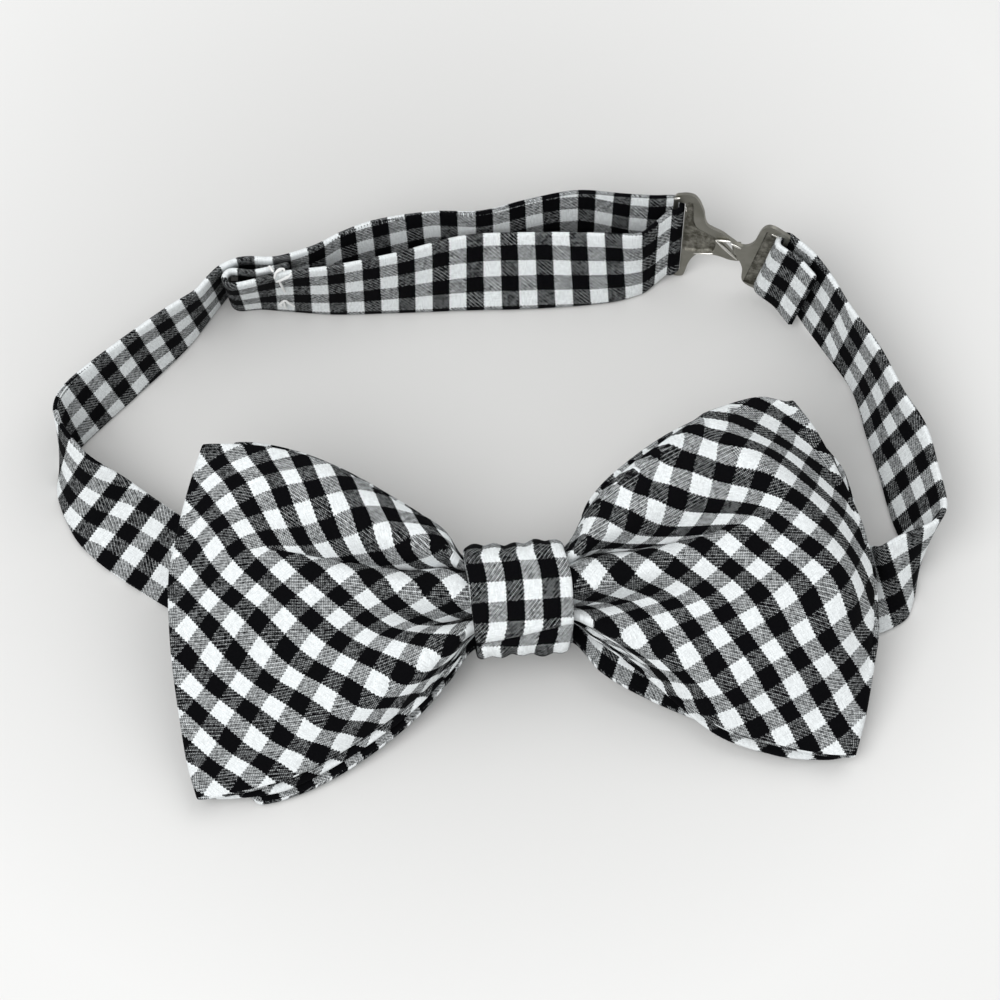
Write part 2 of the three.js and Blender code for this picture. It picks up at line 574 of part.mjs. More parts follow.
const gingham = { color: 0x86868a, roughness: 0.92, metalness: 0 }
const nickel = { color: 0x8c887c, roughness: 0.34, metalness: 1 }
const darkMetal = { color: 0x2c2a28, roughness: 0.6, metalness: 0.8 }
const longRows = [...longOut, ...turnRows(eyeTurn), ...longBack, ...turnRows(slideTurn), ...longEnd]
const shortRows = [...shortOut, ...turnRows(hookTurn), ...shortEnd]
const parts = {
  left_wing: [wing(-1, leftFolds, leftRim, leftBack), gingham],
  right_wing: [wing(1, rightFolds, rightRim, rightBack), gingham],
  rear_bow: [rearBow(), gingham],
  knot: [knotWrap(), gingham],
  long_strap: [strap(longRows), gingham],
  short_strap: [strap(shortRows), gingham],
  eye_plate: [plate(eyeOutline, [slotHole(eyeSlot), eyeHole], eyeAxes), nickel],
  hook_plate: [hookWhole, nickel],
  slide_bar: [slideBar(), darkMetal],
}

// the origin is the middle of the bounding box's bottom
const bounds = new THREE.Box3()
Object.values(parts).forEach(([geometry]) => {
  geometry.computeBoundingBox()
  bounds.union(geometry.boundingBox)
})
const middle = bounds.getCenter(new THREE.Vector3())

const group = new THREE.Group()
Object.entries(parts).forEach(([name, [geometry, look]]) => {
  geometry.translate(-middle.x, -middle.y, -bounds.min.z)
  geometry.deleteAttribute('uv')
  geometry.computeVertexNormals()
  const mesh = new THREE.Mesh(geometry, new THREE.MeshStandardMaterial(look))
  mesh.name = name
  group.add(mesh)
})

export default group
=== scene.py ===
# Pre-tied gingham bow tie with an adjustable neckband, lying on a pale table
import math
import bmesh
import bpy
import numpy as np
from mathutils import Matrix, Vector


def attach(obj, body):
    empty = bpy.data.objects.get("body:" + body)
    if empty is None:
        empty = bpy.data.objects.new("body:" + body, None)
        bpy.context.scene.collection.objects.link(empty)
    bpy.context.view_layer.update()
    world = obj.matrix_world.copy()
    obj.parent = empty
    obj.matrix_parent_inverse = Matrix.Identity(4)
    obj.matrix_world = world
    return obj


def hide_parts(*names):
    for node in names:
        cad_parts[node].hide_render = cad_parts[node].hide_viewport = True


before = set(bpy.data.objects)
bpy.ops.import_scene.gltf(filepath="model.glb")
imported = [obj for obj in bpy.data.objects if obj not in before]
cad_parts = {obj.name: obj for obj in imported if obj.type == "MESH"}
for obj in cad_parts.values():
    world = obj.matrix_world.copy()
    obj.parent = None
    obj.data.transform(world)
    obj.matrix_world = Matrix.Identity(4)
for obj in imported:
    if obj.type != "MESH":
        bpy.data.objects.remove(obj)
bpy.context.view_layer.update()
scene = bpy.context.scene
mm = 0.001
partShift = np.array([0.430, 1.671, 0.258])  # from the tables' own millimetres to the part's frame

# camera, at the photo's angle; aim is the point of the table in the middle of the picture
cameraSetup = {"aim": (0.0004, 0.0017, 0.0003), "elevation": 68, "distance": 0.8, "lens": 161.3}
sight = math.radians(cameraSetup["elevation"])
away = Vector((0, -math.cos(sight), math.sin(sight)))
camera = bpy.data.objects.new("camera", bpy.data.cameras.new("camera"))
camera.data.lens = cameraSetup["lens"]
camera.location = Vector(cameraSetup["aim"]) + away * cameraSetup["distance"]
camera.rotation_euler = away.to_track_quat("Z", "Y").to_euler()
scene.collection.objects.link(camera)
scene.camera = camera


class Wire:
    # one socket of a material, so that shader maths reads as plain Python
    def __init__(self, tree, socket=None):
        self.tree = tree
        self.socket = socket

    def plug(self, target, value):
        if isinstance(value, Wire):
            self.tree.links.new(value.socket, target)
        else:
            target.default_value = value

    def node(self, kind, settings=None, inputs=None, output=0):
        made = self.tree.nodes.new(kind)
        for name, value in (settings or {}).items():
            setattr(made, name, value)
        for name, value in (inputs or {}).items():
            self.plug(made.inputs[name], value)
        return Wire(self.tree, made.outputs[output])

    def maths(self, operation, *terms, clamp=False):
        settings = {"operation": operation, "use_clamp": clamp}
        return self.node("ShaderNodeMath", settings, dict(enumerate(terms)))

    def __add__(self, other):
        return self.maths("ADD", self, other)

    def __sub__(self, other):
        return self.maths("SUBTRACT", self, other)

    def __rsub__(self, other):
        return self.maths("SUBTRACT", other, self)

    def __mul__(self, other):
        return self.maths("MULTIPLY", self, other)

    def clamped(self):
        return self.maths("ADD", self, 0, clamp=True)

    def floor(self):
        return self.maths("FLOOR", self)

    def mix(self, low, high):
        # colours: low where this wire is 0, high where it is 1
        return self.node("ShaderNodeMix", {"data_type": "RGBA"}, {0: self, 6: low, 7: high}, 2)

    def stretched(self, low, gain):
        # 0 up to low, then rising at the gain to 1
        return ((self - low) * gain).clamped()

    def objectPlace(self):
        return self.node("ShaderNodeTexCoord", output=3)

    def noise(self, where, scale, detail=2, roughness=0.5):
        inputs = {"Vector": where, "Scale": scale, "Detail": detail, "Roughness": roughness}
        return self.node("ShaderNodeTexNoise", None, inputs)

    def bump(self, height, distance, strength=0.5):
        inputs = {"Strength": strength, "Distance": distance, "Height": height}
        return self.node("ShaderNodeBump", None, inputs)


def newMaterial(name):
    material = bpy.data.materials.new(name)
    material.use_nodes = True
    return material, Wire(material.node_tree)


def finishMaterial(wire, inputs):
    shader = wire.tree.nodes["Principled BSDF"]
    for name, value in inputs.items():
        wire.plug(shader.inputs[name], value)


# plain-woven gingham: the cloth's map counts checks, and each check is a number of threads wide
ginghamLook = {
    "threads": 16,
    "black": (0.0016, 0.0016, 0.0022, 1),
    "white": (0.88, 0.912, 0.92, 1),
    "lift": 0.2,  # rise of a thread where it crosses over another
    "warpLead": 0.18,  # how much more the warp stands out than the weft
    "cover": 6,  # how sharply the upper thread ends
    "seeThrough": 0.49,  # loss of light in the grey checks
    "darkWarp": 0.25,  # and more where the warp is dark
    "threadTone": 0.26,
    "toneRise": (0.3, 2.5),
    "threadStep": 0.7, "runStep": 3,  # how fast the tone changes across threads and along one
    "heather": 1.5, "heatherScale": 1800,
    "hatch": 0.2, "hatchPitch": 0.52,
    "teeth": 0.5, "teethPitch": 2.1,  # ragged edges of the checks, in threads
    "wobble": 0.05, "wobbleScales": (0.9, 1.3),
    "bump": 0.00004,
    "slub": 0.4, "slubScale": 900,
    "fuzz": 0.012, "fuzzScale": 2600, "fuzzLight": 0.25,
    "rough": 0.86, "slubRough": 0.1,
}


def makeGingham(look):
    material, wire = newMaterial("gingham_cotton")
    uv = wire.node("ShaderNodeUVMap", {"uv_map": "cloth"})
    place = wire.objectPlace()
    across = wire.node("ShaderNodeSeparateXYZ", None, {0: uv})
    along = Wire(across.tree, across.socket.node.outputs[1])
    threads = look["threads"]
    warpStray, weftStray = (wire.noise(uv, scale) - 0.5 for scale in look["wobbleScales"])
    warpPlace = (across + warpStray * look["wobble"]) * threads
    weftPlace = (along + weftStray * look["wobble"]) * threads
    warpNumber = warpPlace.floor()
    weftNumber = weftPlace.floor()
    warpSide = (warpPlace - warpNumber) * 2 - 1
    weftSide = (weftPlace - weftNumber) * 2 - 1
    warpRound = wire.maths("SQRT", 1 - warpSide * warpSide)
    weftRound = wire.maths("SQRT", 1 - weftSide * weftSide)
    warpWave = wire.maths("COSINE", (weftPlace + warpNumber - 0.5) * math.pi)
    weftWave = wire.maths("COSINE", (warpPlace + weftNumber - 0.5) * math.pi)
    warpHeight = warpRound * 0.5 + warpWave * look["lift"] + look["warpLead"]
    weftHeight = weftRound * 0.5 - weftWave * look["lift"]
    warpOnTop = ((warpHeight - weftHeight) * look["cover"] + 0.5).clamped()

    # even checks are light and odd ones dark, for warp and weft alike
    def oddChecks(count, other):
        ragged = count + wire.maths("SINE", other * look["teethPitch"]) * look["teeth"]
        return wire.maths("FLOORED_MODULO", (ragged * (1 / threads)).floor(), 2)

    # each thread thickens and thins along its length
    def threadLight(dark, spots):
        run = wire.node("ShaderNodeCombineXYZ", None, spots)
        tone = wire.noise(run, 1, 1).stretched(*look["toneRise"])
        return (1 - dark) * (1 - tone * look["threadTone"])

    warpDark = oddChecks(warpPlace, weftPlace)
    weftDark = oddChecks(weftPlace, warpPlace)
    step, run = look["threadStep"], look["runStep"]
    warpLight = threadLight(warpDark, {0: warpNumber * step, 1: along * run})
    weftLight = threadLight(weftDark, {0: across * run, 1: weftNumber * step, 2: 5})
    heather = (wire.noise(place, look["heatherScale"]) - 0.5) * look["heather"]
    slant = (warpPlace - weftPlace) * (math.pi * look["hatchPitch"])
    hatch = wire.maths("COSINE", slant) * look["hatch"]
    mixed = wire.maths("ABSOLUTE", warpDark - weftDark)
    under = mixed * (warpDark * look["darkWarp"] + look["seeThrough"] + heather + hatch)
    light = (warpOnTop * warpLight + (1 - warpOnTop) * weftLight) * (1 - under)
    fuzz = wire.noise(place, look["fuzzScale"]) * look["fuzz"]
    light = (light * (1 - fuzz) + fuzz * look["fuzzLight"]).clamped()
    colour = light.mix(look["black"], look["white"])
    height = wire.maths("MAXIMUM", warpHeight, weftHeight)
    slub = wire.noise(place, look["slubScale"], 3)
    normal = wire.bump(height + slub * look["slub"], look["bump"], 0.6)
    roughness = slub * look["slubRough"] + look["rough"]
    finishMaterial(wire, {
        "Base Color": colour, "Roughness": roughness, "Normal": normal,
        "Specular IOR Level": 0.03, "Sheen Weight": 0.006, "Sheen Roughness": 0.5,
    })
    return material


gingham = makeGingham(ginghamLook)
print("materials done")


# Catmull-Rom through rows that stand at uneven places, read at many places at once
def through(places, rows, at):
    places = np.asarray(places, float)
    rows = np.asarray(rows, float)
    at = np.atleast_1d(at)
    last = len(places) - 1
    low = np.maximum(np.arange(last + 1) - 1, 0)
    high = np.minimum(np.arange(last + 1) + 1, last)
    shape = (-1,) + (1,) * (rows.ndim - 1)
    slope = (rows[high] - rows[low]) / (places[high] - places[low]).reshape(shape)
    i = np.clip(np.searchsorted(places, at, side="left") - 1, 0, last - 1)
    span = (places[i + 1] - places[i]).reshape(shape)
    u = (at - places[i]).reshape(shape) / span
    start = (2 * u**3 - 3 * u**2 + 1) * rows[i] + (u**3 - 2 * u**2 + u) * span * slope[i]
    return start + (3 * u**2 - 2 * u**3) * rows[i + 1] + (u**3 - u**2) * span * slope[i + 1]


def unit(vectors):
    return vectors / np.maximum(np.linalg.norm(vectors, axis=-1, keepdims=True), 1e-9)


def smoothStep(low, high, x):
    t = np.clip((x - low) / (high - low), 0, 1)
    return t * t * (3 - 2 * t)


# how far each point lies along its path, or along its row of a grid
def runLengths(points):
    steps = np.linalg.norm(np.diff(points, axis=-2), axis=-1)
    return np.concatenate([np.zeros_like(steps[..., :1]), np.cumsum(steps, axis=-1)], axis=-1)


# lengths measured along a grid's rows and across them
def flatLengths(middle, zeroColumn, zeroRow):
    along = runLengths(middle)
    across = runLengths(middle.transpose(1, 0, 2)).T
    return along - along[:, zeroColumn, None], across - across[zeroRow]


# a flat tube of cloth round a grid of middle points, both its edges folded round
def foldedTube(middle, along, across, thick, edgeSteps=4, face=1):
    normal = face * unit(np.cross(np.gradient(middle, axis=1), np.gradient(middle, axis=0)))
    half = np.full(middle.shape[1], thick / 2)
    half[0] = half[-1] = 0
    half = half[:, None]
    rows = [middle[i] + normal[i] * half for i in range(len(middle))]
    xs, ys = list(along), list(across)
    for edge, neighbour, side in ((-1, -2, 1), (0, 1, -1)):
        out = unit(middle[edge] - middle[neighbour])
        reached = ys[-1]
        for k in range(1, edgeSteps):
            angle = math.pi * k / edgeSteps
            bent = side * normal[edge] * math.cos(angle) + out * math.sin(angle)
            rows.append(middle[edge] + bent * half)
            xs.append(along[edge])
            ys.append(reached + angle * half[:, 0])
        if side == 1:  # between the two edges lies the other face
            turned = reached + math.pi * half[:, 0] + across[-1]
            for i in range(len(middle) - 1, -1, -1):
                rows.append(middle[i] - normal[i] * half)
                xs.append(along[i])
                ys.append(turned - across[i])
    rows.append(rows[0])
    xs.append(xs[0])
    ys.append(ys[-1] + thick / edgeSteps)
    return np.array(rows), np.array(xs), np.array(ys)


# where the checks fall: the cloth's turn to its grid, the checks' size, how far they are shifted,
# and which of the two sets of threads is the warp, which covers more of the weft than it shows
def checkMap(xs, ys, lay, shift=(0, 0)):
    turn = math.radians(lay["turn"])
    a = (xs * math.cos(turn) + ys * math.sin(turn) + shift[0]) / lay["check"][0]
    b = (xs * math.sin(turn) - ys * math.cos(turn) + shift[1]) / lay["check"][1]
    return np.stack([b, a] if lay["warp"] == "second" else [a, b], axis=-1)


def addMesh(name, bm, material):
    mesh = bpy.data.meshes.new(name)
    bm.to_mesh(mesh)
    bm.free()
    mesh.materials.append(material)
    thing = bpy.data.objects.new(name, mesh)
    scene.collection.objects.link(thing)
    return thing


def showPiece(name, bm, material, nodes, smooth=True):
    piece = addMesh(name, bm, material)
    if smooth:
        piece.data.shade_smooth()
    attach(piece, "root")
    if nodes:
        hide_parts(*nodes)
    return piece


# a bmesh grid whose points are moved to their places, with its own place in the grid kept
def layGrid(bm, points):
    rows, columns = points.shape[:2]
    made = bmesh.ops.create_grid(bm, x_segments=columns - 1, y_segments=rows - 1, size=1)
    spot = {}
    for vert in made["verts"]:
        j = round((vert.co.x + 1) / 2 * (columns - 1))
        i = round((vert.co.y + 1) / 2 * (rows - 1))
        spot[vert] = (i, j)
        vert.co = (points[i, j] + partShift) * mm
    return spot


def closeSeams(bm):
    bmesh.ops.remove_doubles(bm, verts=bm.verts, dist=2e-6)
    bmesh.ops.recalc_face_normals(bm, faces=bm.faces)


def gridPiece(name, points, checks, nodes):
    bm = bmesh.new()
    spot = layGrid(bm, points)
    clothMap = bm.loops.layers.uv.new("cloth")
    for face in bm.faces:
        for loop in face.loops:
            loop[clothMap].uv = checks[spot[loop.vert]]
    closeSeams(bm)
    return showPiece(name, bm, gingham, nodes)


# the bow's own plane: x along the bow, y up it, n out of its front
bowPlane = {"yaw": math.radians(4.3), "lean": math.radians(22), "at": np.array([3.6, -24.4, 14.5])}
yaw, lean = bowPlane["yaw"], bowPlane["lean"]
bowX = np.array([math.cos(yaw), math.sin(yaw), 0])
bowY = np.array([-math.sin(yaw) * math.cos(lean), math.cos(yaw) * math.cos(lean), math.sin(lean)])
bowN = np.cross(bowX, bowY)


def onBow(x, y, n):
    return bowPlane["at"] + x[..., None] * bowX + y[..., None] * bowY + n[..., None] * bowN


# wings, as tables of folds: share of the cut height, then y and n at 7.4, 9.8, 13, 20 and 32 mm
# from the middle; the rim rows are x, y, n of the brow, of the foot of its fall and of the edge;
# sectionAt is the share of the way along the wing of each of these sections
sectionAt = [0, 0.04, 0.11, 0.24, 0.46, 0.67, 0.87, 1]
sectionX = [7.4, 9.8, 13, 20, 32]
leftFolds = [
    [0, -4.2, 0, -5.8, -0.1, -9.4, -0.2, -16, -0.3, -23.6, 0],
    [0.12, -4.3, 1.8, -5.6, 2.4, -8.6, 3.2, -13.5, 3.6, -19.4, 3],
    [0.24, -3.8, 3.4, -4.6, 4.2, -6.6, 5, -10, 5.2, -14.2, 4.8],
    [0.36, -3, 2.4, -3.3, 2.8, -4.2, 3.4, -5.6, 4, -7.4, 4.6],
    [0.44, -2.5, 0.8, -2.6, 1, -2.8, 1.5, -2.9, 2.2, -2.4, 4],
    [0.56, 0.8, 4.9, 1, 5.8, 1.7, 6.6, 3, 6.8, 6, 6],
    [0.63, 4.2, 3.6, 4.8, 4, 5.6, 4.5, 6, 4.2, 8.6, 4],
    [0.69, 5, 0.8, 5.6, 1, 6, 1.2, 5.9, 1.4, 8.4, 2.4],
    [0.8, 6, 3, 6.4, 3.3, 9.2, 5.7, 11, 6.2, 16.2, 6.4],
    [0.91, 6.8, 2, 7.2, 2.1, 11.8, 4.4, 15.4, 5, 22.4, 5],
    [1, 7.3, 0.4, 7.8, 0.6, 13, 1.6, 17.9, 2, 25.8, 2],
]
rightFolds = [
    [0, -2.6, 0, -3.4, -0.1, -6, -0.2, -12, -0.3, -23.8, 0],
    [0.12, -3.3, 1.8, -4, 2.4, -6.2, 3.2, -11, 3.6, -18.6, 3.4],
    [0.24, -3.1, 3.4, -3.7, 4.2, -5.2, 5, -8.2, 5.4, -13, 5.2],
    [0.34, -2.5, 2.4, -2.8, 2.8, -3.4, 3.4, -4.6, 4.2, -6.6, 5],
    [0.42, -1.8, 0.8, -1.7, 1, -1.4, 1.5, -1.2, 2.2, -1.6, 4.6],
    [0.54, 1.2, 4.9, 1.5, 5.8, 2.1, 6.5, 3.4, 6.8, 5.4, 7.2],
    [0.61, 4.2, 3.5, 4.9, 4, 5.8, 4.5, 6.2, 4.4, 8.2, 5.4],
    [0.67, 5, 0.8, 5.8, 1, 6.8, 1.3, 7.2, 1.6, 9, 4],
    [0.8, 6, 3, 7.2, 4, 9.8, 5.6, 13, 6.4, 19, 8.2],
    [0.91, 6.8, 2, 8.8, 3.2, 13.2, 4.4, 18.6, 5, 25.2, 6.4],
    [1, 7.3, 0.4, 9.8, 1, 15, 1.6, 21.2, 2, 28.6, 3],
]
leftRim = [
    [43, -28.4, 0.6, 52, -30.2, 1, 57.9, -30.6, 1.2],
    [43, -23.1, 2, 53, -24.6, 1.2, 59.2, -24.5, 0.8],
    [43, -17.1, 3.2, 54, -18, 1.8, 59.9, -17.5, 1],
    [43, -9, 3.4, 54, -9.6, 2, 60.5, -9.5, 1],
    [43, -3.1, 3.6, 54, -3.4, 2.2, 60.7, -3.5, 1],
    [43, 6.8, 4.4, 54, 5.4, 2.4, 60.5, 4.5, 1],
    [43, 11, 3.6, 53, 10.8, 2.2, 59.9, 9.8, 1],
    [43, 11.9, 3.2, 53, 13.2, 2, 58.9, 13, 1],
    [42, 20, 4.8, 51, 20.6, 2.6, 57, 19.4, 1],
    [41, 25.8, 3.8, 49, 26.8, 2.2, 54.6, 26, 0.8],
    [41, 29, 1.4, 48, 30.2, 0.8, 52.7, 30.6, 0.5],
]
rightRim = [
    [43, -28.6, 0.6, 51, -30.9, 1, 55.6, -31.4, 1.2],
    [45, -23, 2.4, 53, -24.4, 1.4, 58, -24.5, 0.6],
    [48, -17, 4.6, 56, -17, 2.4, 60, -16.4, 0.4],
    [51, -10, 6.4, 58.8, -10.4, 2, 61.4, -10.4, -0.4],
    [53, -3, 7.8, 60.2, -5.6, 0.8, 61.7, -6, -1.6],
    [51, 5, 9.4, 60.4, 1.4, -1, 61.8, 0.6, -2.6],
    [48.6, 10.4, 10.2, 59.2, 6.6, -2, 60.9, 5.6, -3.2],
    [46.8, 14.2, 10.6, 58.2, 10.4, -2.4, 60, 9.6, -3.4],
    [41, 22, 10.8, 53.4, 19.6, -2.8, 56.6, 18.4, -3.6],
    [37, 26.6, 9.4, 48.4, 26.4, -2.2, 53, 26, -3.2],
    [35.5, 30.4, 5, 43.6, 32.4, -1, 49.4, 31.2, -2],
]

# stray of the two sets of threads in mm: share, then the first set's at six places along the wing
# and the second set's at the same places
driftAt = [0.12, 0.35, 0.57, 0.70, 0.83, 0.96]
leftDrift = [
    [0.03, 8.2, 8.1, 7.5, 6.1, 5.2, 5.1, -2, -1.3, -0.6, 0.3, 1.1, 1.6],
    [0.1, 7.2, 7.4, 6.3, 5.5, 5.1, 5.3, -0.6, -0.1, 0.4, 1.1, 1.7, 2.2],
    [0.24, 5, 4.4, 3.6, 3.3, 3.3, 3.6, 0.9, 0.8, 1.8, 2.3, 2.7, 3],
    [0.4, 4.3, 3.9, 3.6, 3.3, 3.3, 3.7, -1.1, -0.4, 0, 0.5, 1.3, 2.1],
    [0.56, 5.9, 5.7, 5.6, 5.1, 4.9, 5.2, 0.6, -0.1, -1.1, -0.7, 0.2, 1.7],
    [0.64, 6.1, 6.5, 6, 5.3, 5.1, 5.6, 0.4, -0.7, -2, -1.3, 0, 1.5],
    [0.72, 15, 12.1, 9.3, 6.2, 4.9, 5.9, -8, -5.8, -3.4, -1.5, 0.1, 1.3],
    [0.8, 15.2, 12.2, 9.6, 7.9, 6.9, 6.8, -9.3, -5, -2.7, -1.2, 0, 0.9],
    [0.95, 14, 9.8, 9.2, 8.7, 8.2, 7.6, -5.5, -3.3, -1.8, -0.9, -0.2, 0.5],
]
rightDrift = [
    [0.03, -0.4, -1, -1.6, -1.2, -0.7, -0.1, 3.2, 2.7, 2.2, 1.7, 1.1, 0.6],
    [0.1, -1.5, -2.1, -2.1, -1.3, -0.5, 0.3, 4.8, 4.2, 3.4, 2.4, 1.8, 1.4],
    [0.24, -2.1, -2.7, -2.6, -1.6, -0.5, 0.7, 7, 6.6, 5.8, 4.6, 3.7, 3.3],
    [0.4, -0.9, -1.1, -0.3, 1, 1.8, 1.4, 8.6, 8.3, 6.8, 5.9, 5.2, 4.4],
    [0.56, -1.6, 0.4, 1.6, 2, 1, 1.8, 11.2, 8.8, 7, 6.9, 5.6, 5],
    [0.64, -1.9, 2, 1.8, 3.3, 0.5, 0.7, 11.2, 8.8, 6.8, 7.3, 4.4, 4],
    [0.72, 4.2, 6.7, 4.5, 4.3, 2.2, 1, 6.5, 4.6, 4.7, 5.6, 2.6, 3.3],
    [0.8, 4, 4.7, 5.1, 3.3, 1.8, -0.6, 3.2, 4.9, 4.4, 5, 2.4, 1.2],
    [0.88, 1.7, 3.5, 3.6, 3.8, 1.4, 0.5, 2.4, 4.5, 4.1, 3.6, 0.9, 0.6],
    [0.97, -4.6, -2, 1.6, 2.7, 1.1, 0.9, 4.1, 3.3, 2.8, 3.2, -1.4, -2.1],
]

# low and high are the height n of a wing's back wall, near its bottom and above that; each gather
# runs from one ridge through a valley to the next ridge, as shares of the cut height
leftWing = {
    "side": -1, "folds": leftFolds, "rim": leftRim, "drift": leftDrift,
    "low": [-1.4, -1.4, -1.5, -1.5, -1.4, -0.9, -0.6, -0.6],
    "high": [-1.4, -1.4, -1.4, -1.4, -1.2, -0.9, -0.8, -0.8],
    "cut": 62, "gathers": [(0, 0.12, 0.24), (0.24, 0.44, 0.56), (0.56, 0.69, 0.8), (0.8, 0.9, 1)],
    "lay": {"turn": 45, "check": (3.3, 3.3), "warp": "second"},
}
rightWing = {
    "side": 1, "folds": rightFolds, "rim": rightRim, "drift": rightDrift,
    "low": [-1.4, -1.4, -1.5, -1.6, -1.5, -0.9, -0.6, -0.6],
    "high": [-1.4, -1.5, -1.7, -2.2, -3.2, -4.2, -4.6, -4.6],
    "cut": 64, "gathers": [(0, 0.12, 0.24), (0.24, 0.42, 0.54), (0.54, 0.67, 0.8), (0.8, 0.9, 1)],
    "lay": {"turn": 45, "check": (3.3, 3.3), "warp": "first"},
}
settle = {"steps": 400, "hold": 0.02, "slack": 0.12, "pull": 0.12, "even": 0.5, "limits": (-0.5, 1)}
wingCloth = {
    "thick": 1, "tall": 62, "rows": 120, "front": 110, "back": 44,
    "crowd": 1.1,  # the columns stand closer together near the knot
    "turn": 0.9, "turnSteps": 7,  # radius and steps of the folded outer edge
    "lowShare": 0.45, "follow": 0.12,  # how much the back wall takes on of the front's pleats
    "free": 3, "drop": 1.8, "dropRamp": 12,  # the back wall hangs lower than the front
    "gather": 0.6,
}


def wingMiddle(wing):
    cloth = wingCloth
    folds = np.array(wing["folds"])
    rim = np.array(wing["rim"])
    shares = folds[:, 0]
    sections = np.stack([
        np.stack([np.full(len(folds), x), folds[:, 1 + 2 * k], folds[:, 2 + 2 * k]], axis=-1)
        for k, x in enumerate(sectionX)
    ] + [rim[:, 0:3], rim[:, 3:6], rim[:, 6:9] - [cloth["turn"], 0, 0]])
    at = np.linspace(0, 1, cloth["front"]) ** cloth["crowd"]
    inset = 0.5 * cloth["thick"] / cloth["tall"]
    fine = np.linspace(inset, 1 - inset, cloth["rows"])

    def wallAt(places):
        return through(shares, through(sectionAt, sections, places).transpose(1, 0, 2), fine)

    front = wallAt(at)
    edge = front[:, -1]
    angles = np.pi * np.arange(1, cloth["turnSteps"]) / cloth["turnSteps"]
    turned = np.stack([
        edge[:, None, 0] + cloth["turn"] * np.sin(angles),
        np.repeat(edge[:, None, 1], len(angles), axis=1),
        edge[:, None, 2] - cloth["turn"] * (1 - np.cos(angles)),
    ], axis=-1)
    backAt = np.linspace(1, 0, cloth["back"])
    back = wallAt(backAt)
    levels = through(sectionAt, np.stack([wing["low"], wing["high"]], axis=-1), backAt)
    rise = smoothStep(0, cloth["lowShare"], fine)[:, None]
    level = levels[None, :, 0] * (1 - rise) + levels[None, :, 1] * rise
    free = np.minimum(1, (1 - backAt) * cloth["free"])
    flat = level + cloth["follow"] * back[..., 2]
    ramp = np.minimum(1, backAt * cloth["dropRamp"])
    back[..., 1] -= cloth["drop"] * (1 - fine)[:, None] * ramp * free
    back[..., 2] = (edge[:, None, 2] - 2 * cloth["turn"]) * (1 - free) + flat * free
    path = np.concatenate([front, turned, back], axis=1)
    return onBow(wing["side"] * path[..., 0], path[..., 1], path[..., 2])


# the cloth's own lengths on a wing: each ridge keeps its place in the cut, and what is gathered in
# goes into the valleys between the ridges
def clothLengths(middle, wing):
    along, across = flatLengths(middle, wingCloth["front"] - 1, 0)
    share = np.linspace(0, 1, wingCloth["rows"])
    wide = wingCloth["gather"]
    held = across.copy()
    for low, valley, high in wing["gathers"]:
        i, k = (round(s * (wingCloth["rows"] - 1)) for s in (low, high))
        spare = (high - low) * wing["cut"] - (across[k] - across[i])
        starts, ends = valley - (valley - low) * wide, valley + (high - valley) * wide
        taken = smoothStep(starts, ends, share[i:k + 1])[:, None]
        held[i:k + 1] = (low - 0.5) * wing["cut"] + across[i:k + 1] - across[i] + spare * taken
    return along, held


# how far the threads stray from the even lay, at every point of a wing
def wingDrift(wing):
    table = np.array(wing["drift"])
    front = np.linspace(0, 1, wingCloth["front"]) ** wingCloth["crowd"]
    front = np.clip(front, driftAt[0], driftAt[-1])
    share = np.clip(np.linspace(0, 1, wingCloth["rows"]), table[0, 0], table[-1, 0])
    both = through(driftAt, table[:, 1:].reshape(-1, 2, len(driftAt)).transpose(2, 0, 1), front)
    both = through(table[:, 0], both.transpose(1, 0, 2), share).transpose(2, 0, 1)
    rest = wingCloth["turnSteps"] - 1 + wingCloth["back"]
    return np.concatenate([both, np.repeat(both[:, :, -1:], rest, axis=2)], axis=2)


# cloth can't stretch: where the map is shorter than the wall it is drawn out, and where it is longer
# it keeps most of that, as cloth gathered in
def settleMap(middle, along, across):
    start = np.stack([along, across], axis=-1)
    flat = start.copy()
    rows, columns = along.shape
    pairs = []
    for down, side in ((0, 1), (1, 0), (1, 1), (1, -1)):
        here = (slice(0, rows - down), slice(max(0, -side), columns - max(0, side)))
        there = (slice(down, rows), slice(max(0, side), columns + min(0, side)))
        pairs.append((here, there, np.linalg.norm(middle[there] - middle[here], axis=-1)))
    for _ in range(settle["steps"]):
        push = (start - flat) * settle["hold"]
        for here, there, real in pairs:
            span = flat[there] - flat[here]
            length = np.maximum(np.linalg.norm(span, axis=-1), 1e-3)
            wrong = np.clip(real / length - 1, *settle["limits"])
            share = np.where(wrong > 0, 1, settle["slack"]) * wrong * settle["pull"]
            move = span * share[..., None]
            push[here] -= move
            push[there] += move
        moved = flat + push - start
        edged = np.pad(moved, ((1, 1), (1, 1), (0, 0)), mode="edge")
        around = edged[2:, 1:-1] + edged[:-2, 1:-1] + edged[1:-1, 2:] + edged[1:-1, :-2]
        flat = start + moved + settle["even"] * (around / 4 - moved)
    return flat[..., 0], flat[..., 1]


def makeWing(name, wing):
    middle = wingMiddle(wing)
    along, across = clothLengths(middle, wing)
    turn = math.radians(wing["lay"]["turn"])
    first, second = wingDrift(wing)
    strayed = along + first * math.cos(turn) + second * math.sin(turn)
    strayedUp = across + first * math.sin(turn) - second * math.cos(turn)
    strayed, strayedUp = settleMap(middle, strayed, strayedUp)
    points, xs, ys = foldedTube(middle, strayed, strayedUp, wingCloth["thick"], face=wing["side"])
    checks = checkMap(xs, ys, wing["lay"])
    piece = gridPiece(name + "_cloth", points, checks, [name])


makeWing("left_wing", leftWing)
makeWing("right_wing", rightWing)
print("wings done")

